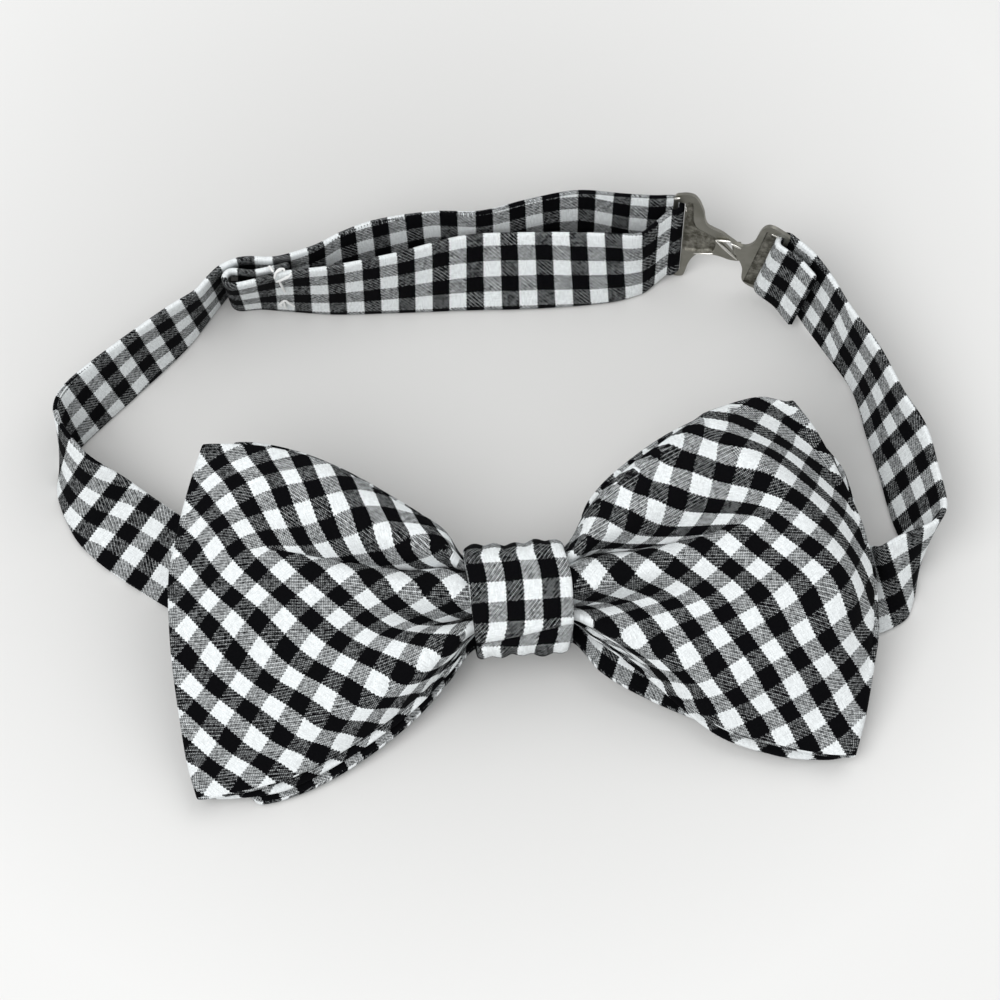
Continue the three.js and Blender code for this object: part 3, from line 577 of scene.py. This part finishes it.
# the rear bow: x, y of its bottom and top edge, height n of the bottom edge and above it
rearRows = [
    (-49.5, -31, 29, -2, -4), (-47.5, -32.6, 30.8, -1.9, -4), (-39, -30.8, 29.2, -2.4, -3.8),
    (-30, -26.6, 25.2, -3, -3.6), (-20, -19.8, 18.6, -3.2, -3.4), (-13, -12.9, 13, -3.1, -3.2),
    (-9.6, -8.6, 8, -2.8, -2.8), (-7, -7.5, 7.5, -2.8, -2.8), (7, -7.5, 7.5, -2.8, -2.8),
    (9.2, -8.4, 8.2, -2.9, -2.9), (13, -13.4, 16, -3.1, -3.3), (20, -18.4, 22.3, -3.2, -3.8),
    (30, -23.6, 28, -3.2, -5), (40, -27.2, 30.6, -3, -6.2), (50, -27, 27.6, -3, -6.8),
    (58, -21.6, 19, -3.8, -6.8), (60, -16.8, 11, -4.4, -6.8),
]
rearBow = {
    "thick": 1, "tall": 50, "rows": 90, "columns": 260,
    "waves": 2.5, "waveHeight": 0.2, "waveFrom": 12, "waveRamp": 10,
    "lay": {"turn": 0, "check": (3.2, 3.2), "warp": "first"},
}


def rearMiddle():
    table = np.array(rearRows)
    at = np.linspace(table[0, 0], table[-1, 0], rearBow["columns"])
    bottom, top, low, high = through(table[:, 0], table[:, 1:], at).T
    inset = 0.5 * rearBow["thick"] / rearBow["tall"]
    share = np.linspace(inset, 1 - inset, rearBow["rows"])[:, None]
    rise = smoothStep(0, wingCloth["lowShare"], share)
    level = low * (1 - rise) + high * rise
    wave = np.sin(share * rearBow["waves"] * 2 * np.pi)
    wavy = np.clip((np.abs(at) - rearBow["waveFrom"]) / rearBow["waveRamp"], 0, 1)
    level = level + rearBow["waveHeight"] * wave * wavy
    y = bottom * (1 - share) + top * share
    return onBow(np.broadcast_to(at, y.shape), y, level)


def makeRearBow():
    middle = rearMiddle()
    along, across = flatLengths(middle, rearBow["columns"] // 2, 0)
    points, xs, ys = foldedTube(middle, along, across, rearBow["thick"])
    checks = checkMap(xs, ys, rearBow["lay"])
    piece = gridPiece("rear_bow_cloth", points, checks, ["rear_bow"])


makeRearBow()
print("rear bow done")

# the knot's wrap: y and n of its outside, and the x of its left and right edge there; its ends
# meet behind, before the seam row
knotRing = [
    (0, 7.7, -8.9, 8.8), (3.2, 7.5, -9, 8.8), (6.2, 6.6, -9.3, 8.5), (8.5, 4.8, -9.5, 8),
    (9.7, 2.2, -9.5, 7.8), (9.9, -1, -9.4, 7.9), (9.7, -4.4, -9.2, 8.2), (8.6, -6.2, -8.8, 8.4),
    (-8.6, -6.2, -8.4, 8.4), (-9.6, -4.4, -8.3, 8.2), (-9.8, -1, -8.2, 7.8), (-9.6, 2, -8.2, 7.6),
    (-8.6, 4.6, -8.3, 7.8), (-6.2, 6.6, -8.5, 8.4), (-3.2, 7.5, -8.7, 8.8),
]
knotWrap = {
    "wall": 1.1, "around": 200, "rows": 60, "seamRow": 8, "puff": 0.35,
    "lump": 0.45, "lumps": (1.15, 0.62), "lumpShift": 0.8, "lumpRise": (7.5, 9.6),
    "crease": {"y": -6.3, "slope": 0.18, "depth": 0.5, "width": 0.65, "tuck": 2},
    "lay": {"turn": 0, "check": (3.4, 3.1), "warp": "second"}, "shift": (0.2, 5.4),
}


def knotMiddle(wrap):
    rows = knotRing[wrap["seamRow"]:] + knotRing[:wrap["seamRow"]]
    seam = (0, *rows[0][1:])
    ring = np.array([seam, *rows, seam], float)
    places = runLengths(ring[:, :2])
    at = np.linspace(0, places[-1], wrap["around"])
    y, n, left, right = through(places, ring, at).T
    dy, dn = np.gradient(y), np.gradient(n)
    length = np.hypot(dy, dn)
    outY, outN = dn / length, -dy / length
    share = np.linspace(0, 1, wrap["rows"])[:, None]
    inset = wrap["wall"] / 2
    x = (left + inset) * (1 - share) + (right - inset) * share
    fall = wrap["puff"] * (2 * share - 1) ** 4
    first, second = wrap["lumps"]
    lump = wrap["lump"] * np.sin(x * first + wrap["lumpShift"]) * np.sin(x * second)
    fall = fall + lump * smoothStep(*wrap["lumpRise"], np.abs(y))
    # a crease runs across the front above the bottom edge, and takes some of the cloth in
    crease = wrap["crease"]
    apart = (y - crease["y"] - crease["slope"] * x) / crease["width"]
    lowerHalf = at < places[-1] / 2
    fall = fall + crease["depth"] * np.exp(-apart ** 2) * lowerHalf
    tucked = crease["tuck"] * (1 - smoothStep(-1, 1, apart)) * lowerHalf
    y = y + outY * (inset + fall)
    n = n + outN * (inset + fall)
    return onBow(x, y, n), tucked


def makeKnot(wrap):
    middle, tucked = knotMiddle(wrap)
    along, across = flatLengths(middle, wrap["around"] // 2, wrap["rows"] // 2)
    along = along - tucked
    points, xs, ys = foldedTube(middle, along, across, wrap["wall"])
    checks = checkMap(xs, ys, wrap["lay"], wrap["shift"])
    piece = gridPiece("knot_cloth", points, checks, ["knot"])


makeKnot(knotWrap)
print("knot done")

# the straps: x and y of the middle line, how far the top edge stands over the bottom edge in x
# and y, and how far the bottom edge is lifted off the table
longOut = [
    [3.1, -23.1, -1.1, 14.8, 7.6], [-6.5, -23.7, -1, 14.8, 7.4], [-20, -24, 1, 14.5, 5.6],
    [-34, -22.6, 3.5, 14, 2.8], [-47, -18.9, 6.5, 12.5, 0.7], [-57, -13.9, 8.6, 10.2, 0],
    [-69.4, -5, 9.2, 8.7, 0], [-75.5, 1.2, 6.1, 2.8, 0], [-77.9, 7, 0.6, 3.2, 0],
    [-77.2, 11, -2.5, 3, 0], [-74, 15.4, -4.8, 2.2, 0], [-67.6, 21.5, -4.3, 1.9, 0],
    [-57.9, 30.3, -2.7, 0.4, 0], [-53.4, 34.9, -1.5, -2, 0], [-51.6, 37.3, -1.2, -2, 0],
    [-49.4, 39.8, -0.8, -2.2, 0], [-46, 41.3, -0.4, -2.2, 0], [-40, 40.8, 0, -1, 0],
    [-33.3, 41.2, -0.3, 2.8, 0], [-28, 43.6, -0.6, 3.9, 0], [-22, 45.7, -1, 4.4, 0],
    [-12, 47.4, -0.6, 4.4, 0], [-3.6, 47.6, 0, 4.2, 0], [6, 50, -0.6, 4.4, 0],
    [14, 51.5, 0, 4.7, 0], [22, 50.6, 0.5, 5, 0.3], [27.5, 49.8, 0.6, 5.5, 0.9],
]
longBack = [
    [28, 45, 0.4, 5.6, 0.3], [25.3, 43, -0.4, 4.8, 0], [19.2, 42.4, -0.9, 7.1, 0],
    [6.2, 42.1, -0.6, 9, 0], [-5.9, 41.6, -0.1, 8.7, 0], [-18.3, 39.2, -0.2, 4.7, 0],
    [-30.1, 37.6, -0.2, 2, 0], [-39.3, 37.3, 0, 0, 0], [-43.5, 36.8, -0.5, -1.8, 0],
]
longEnd = [
    [-44, 38.8, -0.6, -2.2, 0], [-40.5, 38.9, -0.4, -1, 0], [-37.5, 39.1, -0.2, 0.4, 0],
]
shortOut = [
    [3.7, -23.1, -1.1, 14.8, 7.6], [12.6, -22.5, -1.2, 14.8, 7.6], [17, -22.4, -1.4, 14.8, 6.3],
    [28, -22.2, -1.6, 14.6, 4.2], [44, -21.6, -2, 14.3, 1.9], [57, -20.3, -2.4, 13.6, 0.3],
    [65.9, -18.8, -2.6, 12.9, 0], [68.9, -18.2, -5, 9.3, 0], [71, -16.3, -3, 8, 0],
    [72.9, -14.4, -0.5, 5.8, 0], [74.7, -11.9, 2.5, 3.5, 0], [75.2, -9.2, 5, 3, 0],
    [74.5, -5.9, 7, 1.8, 0], [73.4, -1.5, 7.4, 2.9, 0], [71.4, 7.1, 7.3, 3.1, 0],
    [68.6, 13.6, 5.3, 2.4, 0], [65.4, 22.1, 3.5, 2, 0.1], [60, 30.6, 3.4, 2.1, 0.4],
    [57.5, 34.7, 3.8, 2.6, 0.8], [54.2, 39.4, 3.6, 2.4, 1.6],
]
shortEnd = [
    [51.4, 38.6, 3.6, 2.3, 1.8], [53, 36.8, 3.7, 2.5, 1.4], [54.6, 34.9, 3.8, 2.5, 1],
]
eyeTurn = {"x": 30.9, "y": 48.1, "from": 80, "to": -110, "over": (0.6, 5.8), "lift": 1.3}
slideTurn = {"x": -47.4, "y": 37.7, "from": -90, "to": -270, "over": (-0.8, -2.4), "lift": 0}
hookTurn = {"x": 49.5, "y": 41.5, "from": 38, "to": 218, "over": (3.4, 2.1), "lift": 2.6}
band = {
    "width": 16, "thick": 1, "turnRadius": 1.5, "turnSteps": 6, "step": 0.45, "rows": 12,
    "lay": {"turn": 0, "check": (3.175, 3.175), "warp": "first"},
}


# a strap's rows round a plate's bar or the slide, between two angles in degrees
def turnRows(turn):
    rows = []
    for k in range(band["turnSteps"] + 1):
        angle = math.radians(turn["from"] + (turn["to"] - turn["from"]) * k / band["turnSteps"])
        x = turn["x"] + band["turnRadius"] * math.cos(angle)
        y = turn["y"] + band["turnRadius"] * math.sin(angle)
        rows.append([x, y, *turn["over"], turn["lift"]])
    return rows


def strapMiddle(rows):
    table = np.array(rows)
    places = runLengths(table[:, :2])
    at = np.linspace(0, places[-1], round(places[-1] / band["step"]))
    x, y, overX, overY, lift = through(places, table, at).T
    tall = np.sqrt(band["width"] ** 2 - overX**2 - overY**2)
    line = np.stack([x, y, np.maximum(lift, 0) + tall / 2], axis=-1)
    up = np.stack([overX, overY, tall], axis=-1) / band["width"]
    reach = band["width"] / 2 - band["thick"] / 2
    spread = np.linspace(-reach, reach, band["rows"])[:, None, None]
    middle = line[None] + up[None] * spread
    along = np.broadcast_to(runLengths(line), middle.shape[:2])
    across = np.broadcast_to(spread[:, :, 0], middle.shape[:2])
    return middle, along, across


def makeStrap(name, rows, drift):
    middle, along, across = strapMiddle(rows)
    points, xs, ys = foldedTube(middle, along, across, band["thick"])
    place, first, oneFace, otherFace = np.array(drift).T
    firstFace = np.arange(len(xs))[:, None] < band["rows"]
    alongShift, near, far = (np.interp(xs, place, column) for column in (first, oneFace, otherFace))
    acrossShift = np.where(firstFace, near, far)
    checks = checkMap(xs, ys, band["lay"], (alongShift, acrossShift))
    piece = gridPiece(name + "_cloth", points, checks, [name])


longDrift = [
    [60, 1.8, 1, 2.4], [70, 1.7, 1, 2], [76, 1.5, 1, 2.6], [80, 1.5, 1, 4.2], [85, 1.7, 1, 5.6],
    [90, 1.8, 1, 5.8], [96, 3.1, 1, 5.6], [101, 2.9, 0.7, 5.2], [107, 2.9, 1.6, 4.8],
    [117, 2.9, 3, 4.6], [126, 2.6, 2, 4.4], [134, 2.5, 1.6, 4.4], [150, 2.7, 3.2, 4.6],
    [158, 2.9, 4.4, 4.6], [166, 2.9, 4, 4.8], [176, 3.3, 4.9, 5], [187, 3.5, 4.2, 5.2],
    [197, 3.7, 4.2, 5.6], [205, 3.6, 3.6, 6.2], [212, 3.7, 2.6, 6.4], [222, 3.6, 2.6, 6.5],
    [230, 3.6, 2.7, 5.6], [238, 3.6, 2.8, 5.1], [250, 3.6, 3, 4.5], [265, 3.6, 3, 4.6],
    [285, 3.8, 3, 4.3], [300, 4, 3, 4.3],
]
shortDrift = [
    [60, 1.8, 1.4, 2.6], [70, 2.3, 1.2, 3], [80, 4.6, 1.4, 3.4], [86, 4.5, 2, 3.6],
    [92, 3.9, 2.4, 4.4], [97, 3.4, 3, 5.3], [105, 4.2, 3.2, 4.5], [112, 3.7, 3.4, 5.1],
    [117, 3.2, 3.6, 4.4], [121, 2.8, 3.8, 2.6], [128, 3, 4, 2.8], [134, 1.6, 4, 3.4],
    [140, 0.3, 4, 4], [150, -0.1, 4.1, 4],
]
longRows = longOut + turnRows(eyeTurn) + longBack + turnRows(slideTurn) + longEnd
makeStrap("long_strap", longRows, longDrift)
makeStrap("short_strap", shortOut + turnRows(hookTurn) + shortEnd, shortDrift)
print("straps done")

# clasp plates: corners in each plate's own axes, u along it and v up it, m out of its front
eyePlate = {
    "at": (33.1, 47.5, 8.9), "u": (0.94, -0.34, 0), "up": (0.04, 0.36, 0.93), "thick": 0.7,
    "outline": [
        (-2.4, 0), (-2.4, 8.9), (-2.1, 9.7), (-1.2, 10.2), (-0.1, 10.6), (1.2, 10.6), (2.2, 9.7),
        (2.8, 8.5), (3.3, 7.2), (3.6, 5.6), (4.1, 4.5), (5.2, 4), (6.4, 3.7), (7.4, 3.3),
        (8.4, 2.7), (9.3, 2.2), (10, 1.7), (10.5, 0.6), (11, -0.8), (11, -1.6), (10.5, -2.1),
        (9.7, -2.3), (8.7, -2.4), (7.2, -2.2), (6, -2.2), (4.4, -2.6), (2.9, -3), (2.2, -3.8),
        (1.6, -5), (1.1, -6.6), (0.8, -8.2), (0.5, -9.1), (-0.6, -9.6), (-2, -9.5), (-2.4, -9),
        (-2.4, 0),
    ],
    "tip": [],
    "slot": {"from": -1.6, "to": -0.2, "reach": 8.4},
    "hole": [(7, 1.6), (8.7, 1.95), (9.3, 1.7), (10.3, -0.95), (10, -1.3)],
    "panel": [
        (0, -2.4), (-0.05, 0), (-0.05, 4), (0, 8.3), (0.4, 9), (1.2, 8.9), (1.5, 7.8), (1.5, 6.2),
        (1.6, 4.9), (2.1, 3.6), (3, 3), (4.2, 2.7), (5.4, 2.3), (6.1, 1.9), (6.2, 1), (5.9, -0.8),
        (5.6, -1.4), (4.4, -1.9), (3.4, -2.3), (2.2, -2.6), (1.2, -2.8), (0.4, -2.8),
    ],
    # the lips carry a painted highlight colour, for the glints along the hole's and slot's edges
    "lips": [
        (6.1, 1.85, 8.8, 2.4, 0.5), (6.1, 1.7, 10.3, -1.5, 0.5), (2.2, -2.75, 5.8, -1.65, 0.4),
        (-2.2, 9.2, -1.3, 9.7, 0.5), (0, 7.9, 0.15, 7, 0.4),
    ],
}
hookPlate = {
    "at": (46.9, 42.4, 10.8), "u": (0.936, -0.314, -0.16), "up": (0.21, 0.13, 0.97), "thick": 0.7,
    "outline": [
        (-3.85, -2.5), (-3.3, -3), (-2.7, -4), (-2.3, -4.9), (-1.9, -6.8), (-1.4, -8.2),
        (-0.4, -8.9), (1.3, -9.2), (2.4, -9.2), (3.1, -8.8), (3.1, 0), (3.1, 8.7), (2.4, 9.2),
        (1.3, 9.6), (0, 10), (-1.1, 9.9), (-1.8, 9.1), (-2.2, 7.6), (-2.3, 5.5), (-2.4, 3.8),
        (-3, 2.3), (-3.9, 1.5), (-5.1, 1.5), (-6.1, 1.8),
    ],
    # the tongue that goes through the other plate's hole starts between these two points of the tip
    "tip": [(-4.94, -0.4), (-4.34, -1.55)],
    "tongue": [
        (0.3, -0.12), (0.3, -0.35), (0.12, -0.5), (0, -0.6), (-0.25, -0.4), (-0.6, -0.15), (-0.5, 0),
    ],
    "slot": {"from": -1.2, "to": 2.3, "reach": 8.4},
    # the ledge fills the slot's gap, and its darker pitted mottle there is partly painted shade
    "ledge": [(0.25, -0.3), (0.9, -0.14), (0.95, -0.12)],
    # these lips carry a painted highlight colour too
    "lips": [(-6, 1.6, -4.1, 1.3, 0.4), (-0.2, 8.7, 1.2, 8.5, 0.3)],
}
# lips are small ridges with a painted highlight: both ends and the width; sharp is the angle from
# which an edge is bevelled, and the bevelled rims get a little of the painted highlight colour
plateEdge = {
    "step": 0.35, "rim": 0.12, "segments": 2, "sharp": 0.9, "panelInset": 0.45, "panelDepth": 0.3,
    "rimHighlight": 0.08, "lipSides": 24, "lipRings": 12, "lipRound": 1 / 3, "lipHeight": 0.45,
}


def plateAxes(plate):
    up = Vector(plate["up"]).normalized()
    front = Vector(plate["u"]).cross(up).normalized()
    along = up.cross(front)
    basis = Matrix((along, up, front)).transposed().to_4x4()
    place = Matrix.Translation((Vector(plate["at"]) + Vector(partShift)) * mm)
    return place @ Matrix.Scale(mm, 4) @ basis


def curvePoints(corners, step):
    table = np.array(corners, float)
    places = runLengths(table)
    return through(places, table, np.linspace(0, places[-1], round(places[-1] / step)))


def loopEdges(bm, loop):
    verts = [bm.verts.new((u, v, 0)) for u, v in loop]
    return [bm.edges.new((verts[k - 1], verts[k])) for k in range(len(verts))]


# an edge of the flat plate drawn out in steps, each away from the plate and down behind it
def bendEdge(bm, edge, out, steps):
    faces = []
    for away, fall in steps:
        made = bmesh.ops.extrude_edge_only(bm, edges=[edge])["geom"]
        faces += [item for item in made if isinstance(item, bmesh.types.BMFace)]
        fresh = [item for item in made if isinstance(item, bmesh.types.BMVert)]
        bmesh.ops.translate(bm, verts=fresh, vec=out * away + Vector((0, 0, fall)))
        edge = next(
            item for item in made
            if isinstance(item, bmesh.types.BMEdge) and set(item.verts) == set(fresh))
    return faces


def markFaces(faces, layer, value):
    for face in faces:
        for loop in face.loops:
            loop[layer] = value


# the plate's flat front with its openings, sunk panel, tongue and ledge
def drawFront(bm, plate, pitsAndShade):
    outline = [tuple(p) for p in curvePoints(plate["outline"], plateEdge["step"])]
    if not plate["tip"]:
        outline.pop()
    edges = loopEdges(bm, outline + plate["tip"])
    tipEdge = edges[-1]
    slot = plate["slot"]
    low, high, reach = slot["from"], slot["to"], slot["reach"]
    slotEdges = loopEdges(bm, [(low, reach), (low, -reach), (high, -reach), (high, reach)])
    edges += slotEdges + loopEdges(bm, plate.get("hole", []))
    panelEdges = loopEdges(bm, plate.get("panel", []))
    bmesh.ops.triangle_fill(bm, use_beauty=True, normal=(0, 0, 1), edges=edges + panelEdges)
    if panelEdges:
        panel = bmesh.ops.contextual_create(bm, geom=panelEdges)["faces"]
        bmesh.ops.recalc_face_normals(bm, faces=bm.faces)
        ring = bmesh.ops.inset_region(
            bm, faces=panel, thickness=plateEdge["panelInset"], depth=-plateEdge["panelDepth"],
            use_even_offset=True, use_boundary=True)["faces"]
        markFaces(panel + ring, pitsAndShade, 1)
    if plate["tip"]:
        first, second = (Vector((*p, 0)) for p in plate["tip"])
        side = (second - first).normalized()
        bendEdge(bm, tipEdge, Vector((side.y, -side.x, 0)), plate["tongue"])
        # the ledge takes the sunk panel's pitted mottle, which here is partly painted shade for the
        # shaded gap in the slot
        markFaces(bendEdge(bm, slotEdges[1], Vector((1, 0, 0)), plate["ledge"]), pitsAndShade, 1)
    bmesh.ops.recalc_face_normals(bm, faces=bm.faces)
    if sum(face.normal.z * face.calc_area() for face in bm.faces) < 0:
        bmesh.ops.reverse_faces(bm, faces=bm.faces)


def addLip(bm, lip, thick, polishAndHighlight):
    u0, v0, u1, v1, width = lip
    span = Vector((u1 - u0, v1 - v0, 0))
    place = Matrix.Translation(((u0 + u1) / 2, (v0 + v1) / 2, thick * 0.5))
    turn = Vector((1, 0, 0)).rotation_difference(span).to_matrix().to_4x4()
    half = span.length / 2 + width * plateEdge["lipRound"]
    shape = Matrix.Diagonal((half, width / 2, width * plateEdge["lipHeight"], 1))
    made = bmesh.ops.create_uvsphere(
        bm, u_segments=plateEdge["lipSides"], v_segments=plateEdge["lipRings"], radius=1,
        matrix=place @ turn @ shape)
    # the lips get the full painted highlight colour and less roughness
    for vert in made["verts"]:
        for loop in vert.link_loops:
            loop[polishAndHighlight] = 1
            loop.face.smooth = True


def makePlate(name, plate, material):
    bm = bmesh.new()
    pitsAndShade = bm.loops.layers.float.new("pitsAndShade")
    polishAndHighlight = bm.loops.layers.float.new("polishAndHighlight")
    drawFront(bm, plate, pitsAndShade)
    bmesh.ops.solidify(bm, geom=bm.faces[:], thickness=plate["thick"])
    bmesh.ops.recalc_face_normals(bm, faces=bm.faces)
    least = plateEdge["sharp"]
    sharp = [edge for edge in bm.edges if edge.is_manifold and edge.calc_face_angle() > least]
    rim = bmesh.ops.bevel(
        bm, geom=sharp, offset=plateEdge["rim"], offset_type="OFFSET", segments=plateEdge["segments"],
        profile=0.5, affect="EDGES", material=-1, clamp_overlap=True)["faces"]
    for face in rim:
        face.smooth = True
    # the bevelled rims get a little of the painted highlight colour
    markFaces(rim, polishAndHighlight, plateEdge["rimHighlight"])
    for lip in plate["lips"]:
        addLip(bm, lip, plate["thick"], polishAndHighlight)
    bmesh.ops.transform(bm, matrix=plateAxes(plate), verts=bm.verts)
    showPiece(name + "_metal", bm, material, [name], smooth=False)


nickelLook = {
    "plain": (0.30, 0.293, 0.262, 1), "dull": (0.21, 0.205, 0.175, 1),
    # the pits' colours: real mottle on the sunk panel, and partly painted shade on the ledge by the
    # slot
    "pitAndShade": (0.11, 0.105, 0.085, 1), "pitAndShadeLight": (0.33, 0.32, 0.28, 1),
    # a near-white painted highlight colour for the lips and rims
    "paintedHighlight": (0.98, 0.96, 0.90, 1),
    "cloudScale": 260, "cloudRise": (0.35, 2.5), "mottleScale": 900, "mottleRise": (0.4, 4),
    "scratchScale": 5000, "relief": 0.15, "bump": 0.00012,
    "rough": 0.34, "pitRough": 0.2, "mottleRough": 0.1, "polish": 0.24,
}
# the hidden slide bar
barLook = {
    "dark": (0.006, 0.006, 0.006, 1), "worn": (0.03, 0.028, 0.026, 1), "wearScale": 900,
    "rough": 0.5, "wearRough": 0.2, "metal": 0.6,
}


def makeNickel(look):
    material, wire = newMaterial("worn_nickel_and_painted_glints")
    place = wire.objectPlace()
    pitsAndShade = wire.node("ShaderNodeAttribute", {"attribute_name": "pitsAndShade"}, output=2)
    polishAndHighlight = wire.node("ShaderNodeAttribute", {"attribute_name": "polishAndHighlight"}, output=2)
    cloud = wire.noise(place, look["cloudScale"], 3)
    mottle = wire.noise(place, look["mottleScale"], 5, 0.65)
    scratch = wire.noise(place, look["scratchScale"])
    plain = cloud.stretched(*look["cloudRise"]).mix(look["dull"], look["plain"])
    # the pits' mottle, which on the ledge by the slot is partly painted shade
    pitsAndShadeColour = mottle.stretched(*look["mottleRise"]).mix(look["pitAndShade"], look["pitAndShadeLight"])
    # painted highlight: where the polish mark is set, the colour turns to the near-white highlight
    # colour, fully on the lips and a little on the bevelled rims; the same mark lowers the roughness
    colour = polishAndHighlight.mix(pitsAndShade.mix(plain, pitsAndShadeColour), look["paintedHighlight"])
    relief = mottle * (pitsAndShade + look["relief"]) + scratch * look["relief"]
    roughness = pitsAndShade * look["pitRough"] + look["rough"] + mottle * look["mottleRough"]
    roughness = roughness - polishAndHighlight * look["polish"]
    finishMaterial(wire, {
        "Base Color": colour, "Metallic": 1, "Roughness": roughness,
        "Normal": wire.bump(relief, look["bump"]),
    })
    return material


def makeDarkMetal(look):
    material, wire = newMaterial("blackened_bar")
    wear = wire.noise(wire.objectPlace(), look["wearScale"], 3)
    colour = wear.mix(look["dark"], look["worn"])
    roughness = wear * look["wearRough"] + look["rough"]
    finishMaterial(wire, {"Base Color": colour, "Roughness": roughness, "Metallic": look["metal"]})
    return material


nickel = makeNickel(nickelLook)
makePlate("eye_plate", eyePlate, nickel)
makePlate("hook_plate", hookPlate, nickel)
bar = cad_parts["slide_bar"]
bar.data.materials.clear()
bar.data.materials.append(makeDarkMetal(barLook))
print("clasp done")

# white tack stitches that hold the strap's fold at the slide, and their loose ends: points in the
# tables' own millimetres along each thread
tackThreads = {
    "radius": 0.24, "step": 0.15, "sides": 8, "taper": 6,
    "askew": (0.3, 1, 0.2),  # a direction that no thread runs in
    "shade": (0.72, 0.72, 0.71, 1), "light": (0.92, 0.92, 0.91, 1),
    "fluffScale": 5000, "bump": 0.00004, "rough": 0.8, "fluffRough": 0.1,
    "paths": [
        [(-41.3, 38.6, 16.3), (-40.9, 38, 16.35), (-40.4, 37.2, 16.3)],
        [
            (-40.3, 36.3, 15.4), (-40, 37, 16.4), (-39.4, 37.7, 16.5), (-38.6, 37.8, 16.4),
            (-38.5, 37.2, 16.4),
        ],
        [(-40.2, 36.8, 16.3), (-39.6, 37.3, 16.6), (-38.9, 37.5, 16.5)],
        [
            (-40.2, 36.5, 13.8), (-39.5, 36.4, 14.4), (-38.8, 36.4, 15.1), (-37.9, 36.4, 15.9),
            (-37.1, 37, 16.5),
        ],
        [(-40.1, 36.4, 14), (-39.4, 36.3, 14.7), (-38.6, 36.3, 15.5), (-37.9, 36.6, 16.2)],
        [(-39.5, 36.5, 14), (-39.1, 36.3, 12.6), (-38.9, 36.3, 11.2), (-38.5, 36.4, 9.5)],
        [(-40.1, 36.2, 4.4), (-39.5, 36.3, 5.2), (-38.8, 36.5, 6)],
        [(-38.8, 36.5, 6), (-38.1, 36.3, 5.1), (-37.1, 36.1, 4)],
        [(-39.1, 36.5, 5.8), (-38.9, 36.3, 4.2), (-38.7, 36.2, 2.7)],
        [(-39.3, 36.5, 5.6), (-39.6, 36.2, 4.6), (-39.4, 36.1, 3.8)],
    ],
}


def addThread(bm, path, tack):
    line = curvePoints(path, tack["step"])
    ahead = unit(np.gradient(line, axis=0))
    side = unit(np.cross(ahead, tack["askew"]))
    lift = np.cross(side, ahead)
    angles = np.linspace(0, 2 * np.pi, tack["sides"] + 1)[None, :, None]
    taper = np.sqrt(np.clip(1 - np.linspace(-1, 1, len(line)) ** tack["taper"], 0, 1))[:, None, None]
    around = np.cos(angles) * side[:, None] + np.sin(angles) * lift[:, None]
    layGrid(bm, line[:, None] + tack["radius"] * taper * around)


def makeTack(tack):
    material, wire = newMaterial("white_thread")
    fluff = wire.noise(wire.objectPlace(), tack["fluffScale"], 3)
    colour = fluff.mix(tack["shade"], tack["light"])
    finishMaterial(wire, {
        "Base Color": colour, "Roughness": fluff * tack["fluffRough"] + tack["rough"],
        "Normal": wire.bump(fluff, tack["bump"]), "Specular IOR Level": 0.1,
    })
    bm = bmesh.new()
    for path in tack["paths"]:
        addThread(bm, path, tack)
    closeSeams(bm)
    showPiece("tack_threads", bm, material, [])


makeTack(tackThreads)
print("stitches done")

# table top and soft light
floorLook = {
    "size": 1.5,
    # near: darker tones of painted shade round the middle; far: lighter tones of painted light
    # towards the edges
    "near": [(0.63, 0.625, 0.615, 1), (0.66, 0.655, 0.645, 1)],
    "far": [(0.765, 0.76, 0.75, 1), (0.8, 0.795, 0.785, 1)],
    "middle": (-0.01, 0.02, 0),
    "reach": (0.045, 0.12),  # where the near tones begin and end to give way to the far ones
    "cloudScale": 6,
}
lights = {
    "window": {
        "at": (-0.45, -0.45, 1), "aim": (0, 0, 0.01), "size": 1, "power": 8, "tint": (1, 1, 1)},
    "fill": {
        "at": (0.5, 0.45, 1.1), "aim": (0, 0, 0), "size": 1.2, "power": 4, "tint": (1, 0.99, 0.98)},
}
roomLight = {"Color": (0.97, 0.99, 1, 1), "Strength": 0.6}


def makeFloor(look):
    material, wire = newMaterial("table_top")
    place = wire.objectPlace()
    tone = wire.noise(place, look["cloudScale"], 3)
    # painted shade and light: the table's colour is darker round the middle, where the bow's shade
    # falls, and lighter towards the edges
    ends = {0: place, 1: look["middle"]}
    distance = wire.node("ShaderNodeVectorMath", {"operation": "DISTANCE"}, ends, 1)
    low, high = look["reach"]
    away = distance.stretched(low, 1 / (high - low))
    colour = away.mix(tone.mix(*look["near"]), tone.mix(*look["far"]))
    finishMaterial(wire, {"Base Color": colour, "Roughness": 0.7, "Specular IOR Level": 0.2})
    bm = bmesh.new()
    bmesh.ops.create_grid(bm, x_segments=1, y_segments=1, size=look["size"])
    floor = addMesh("table_top", bm, material)


def addLight(name, lamp):
    data = bpy.data.lights.new(name, "AREA")
    data.shape = "DISK"
    data.size = lamp["size"]
    data.energy = lamp["power"]
    data.color = lamp["tint"]
    light = bpy.data.objects.new(name, data)
    light.location = lamp["at"]
    away = Vector(lamp["at"]) - Vector(lamp["aim"])
    light.rotation_euler = away.to_track_quat("Z", "Y").to_euler()
    scene.collection.objects.link(light)


makeFloor(floorLook)
for name, lamp in lights.items():
    addLight(name, lamp)
world = bpy.data.worlds.new("room")
world.use_nodes = True
for name, value in roomLight.items():
    world.node_tree.nodes["Background"].inputs[name].default_value = value
scene.world = world
scene.view_settings.view_transform = "Standard"
print("light done")
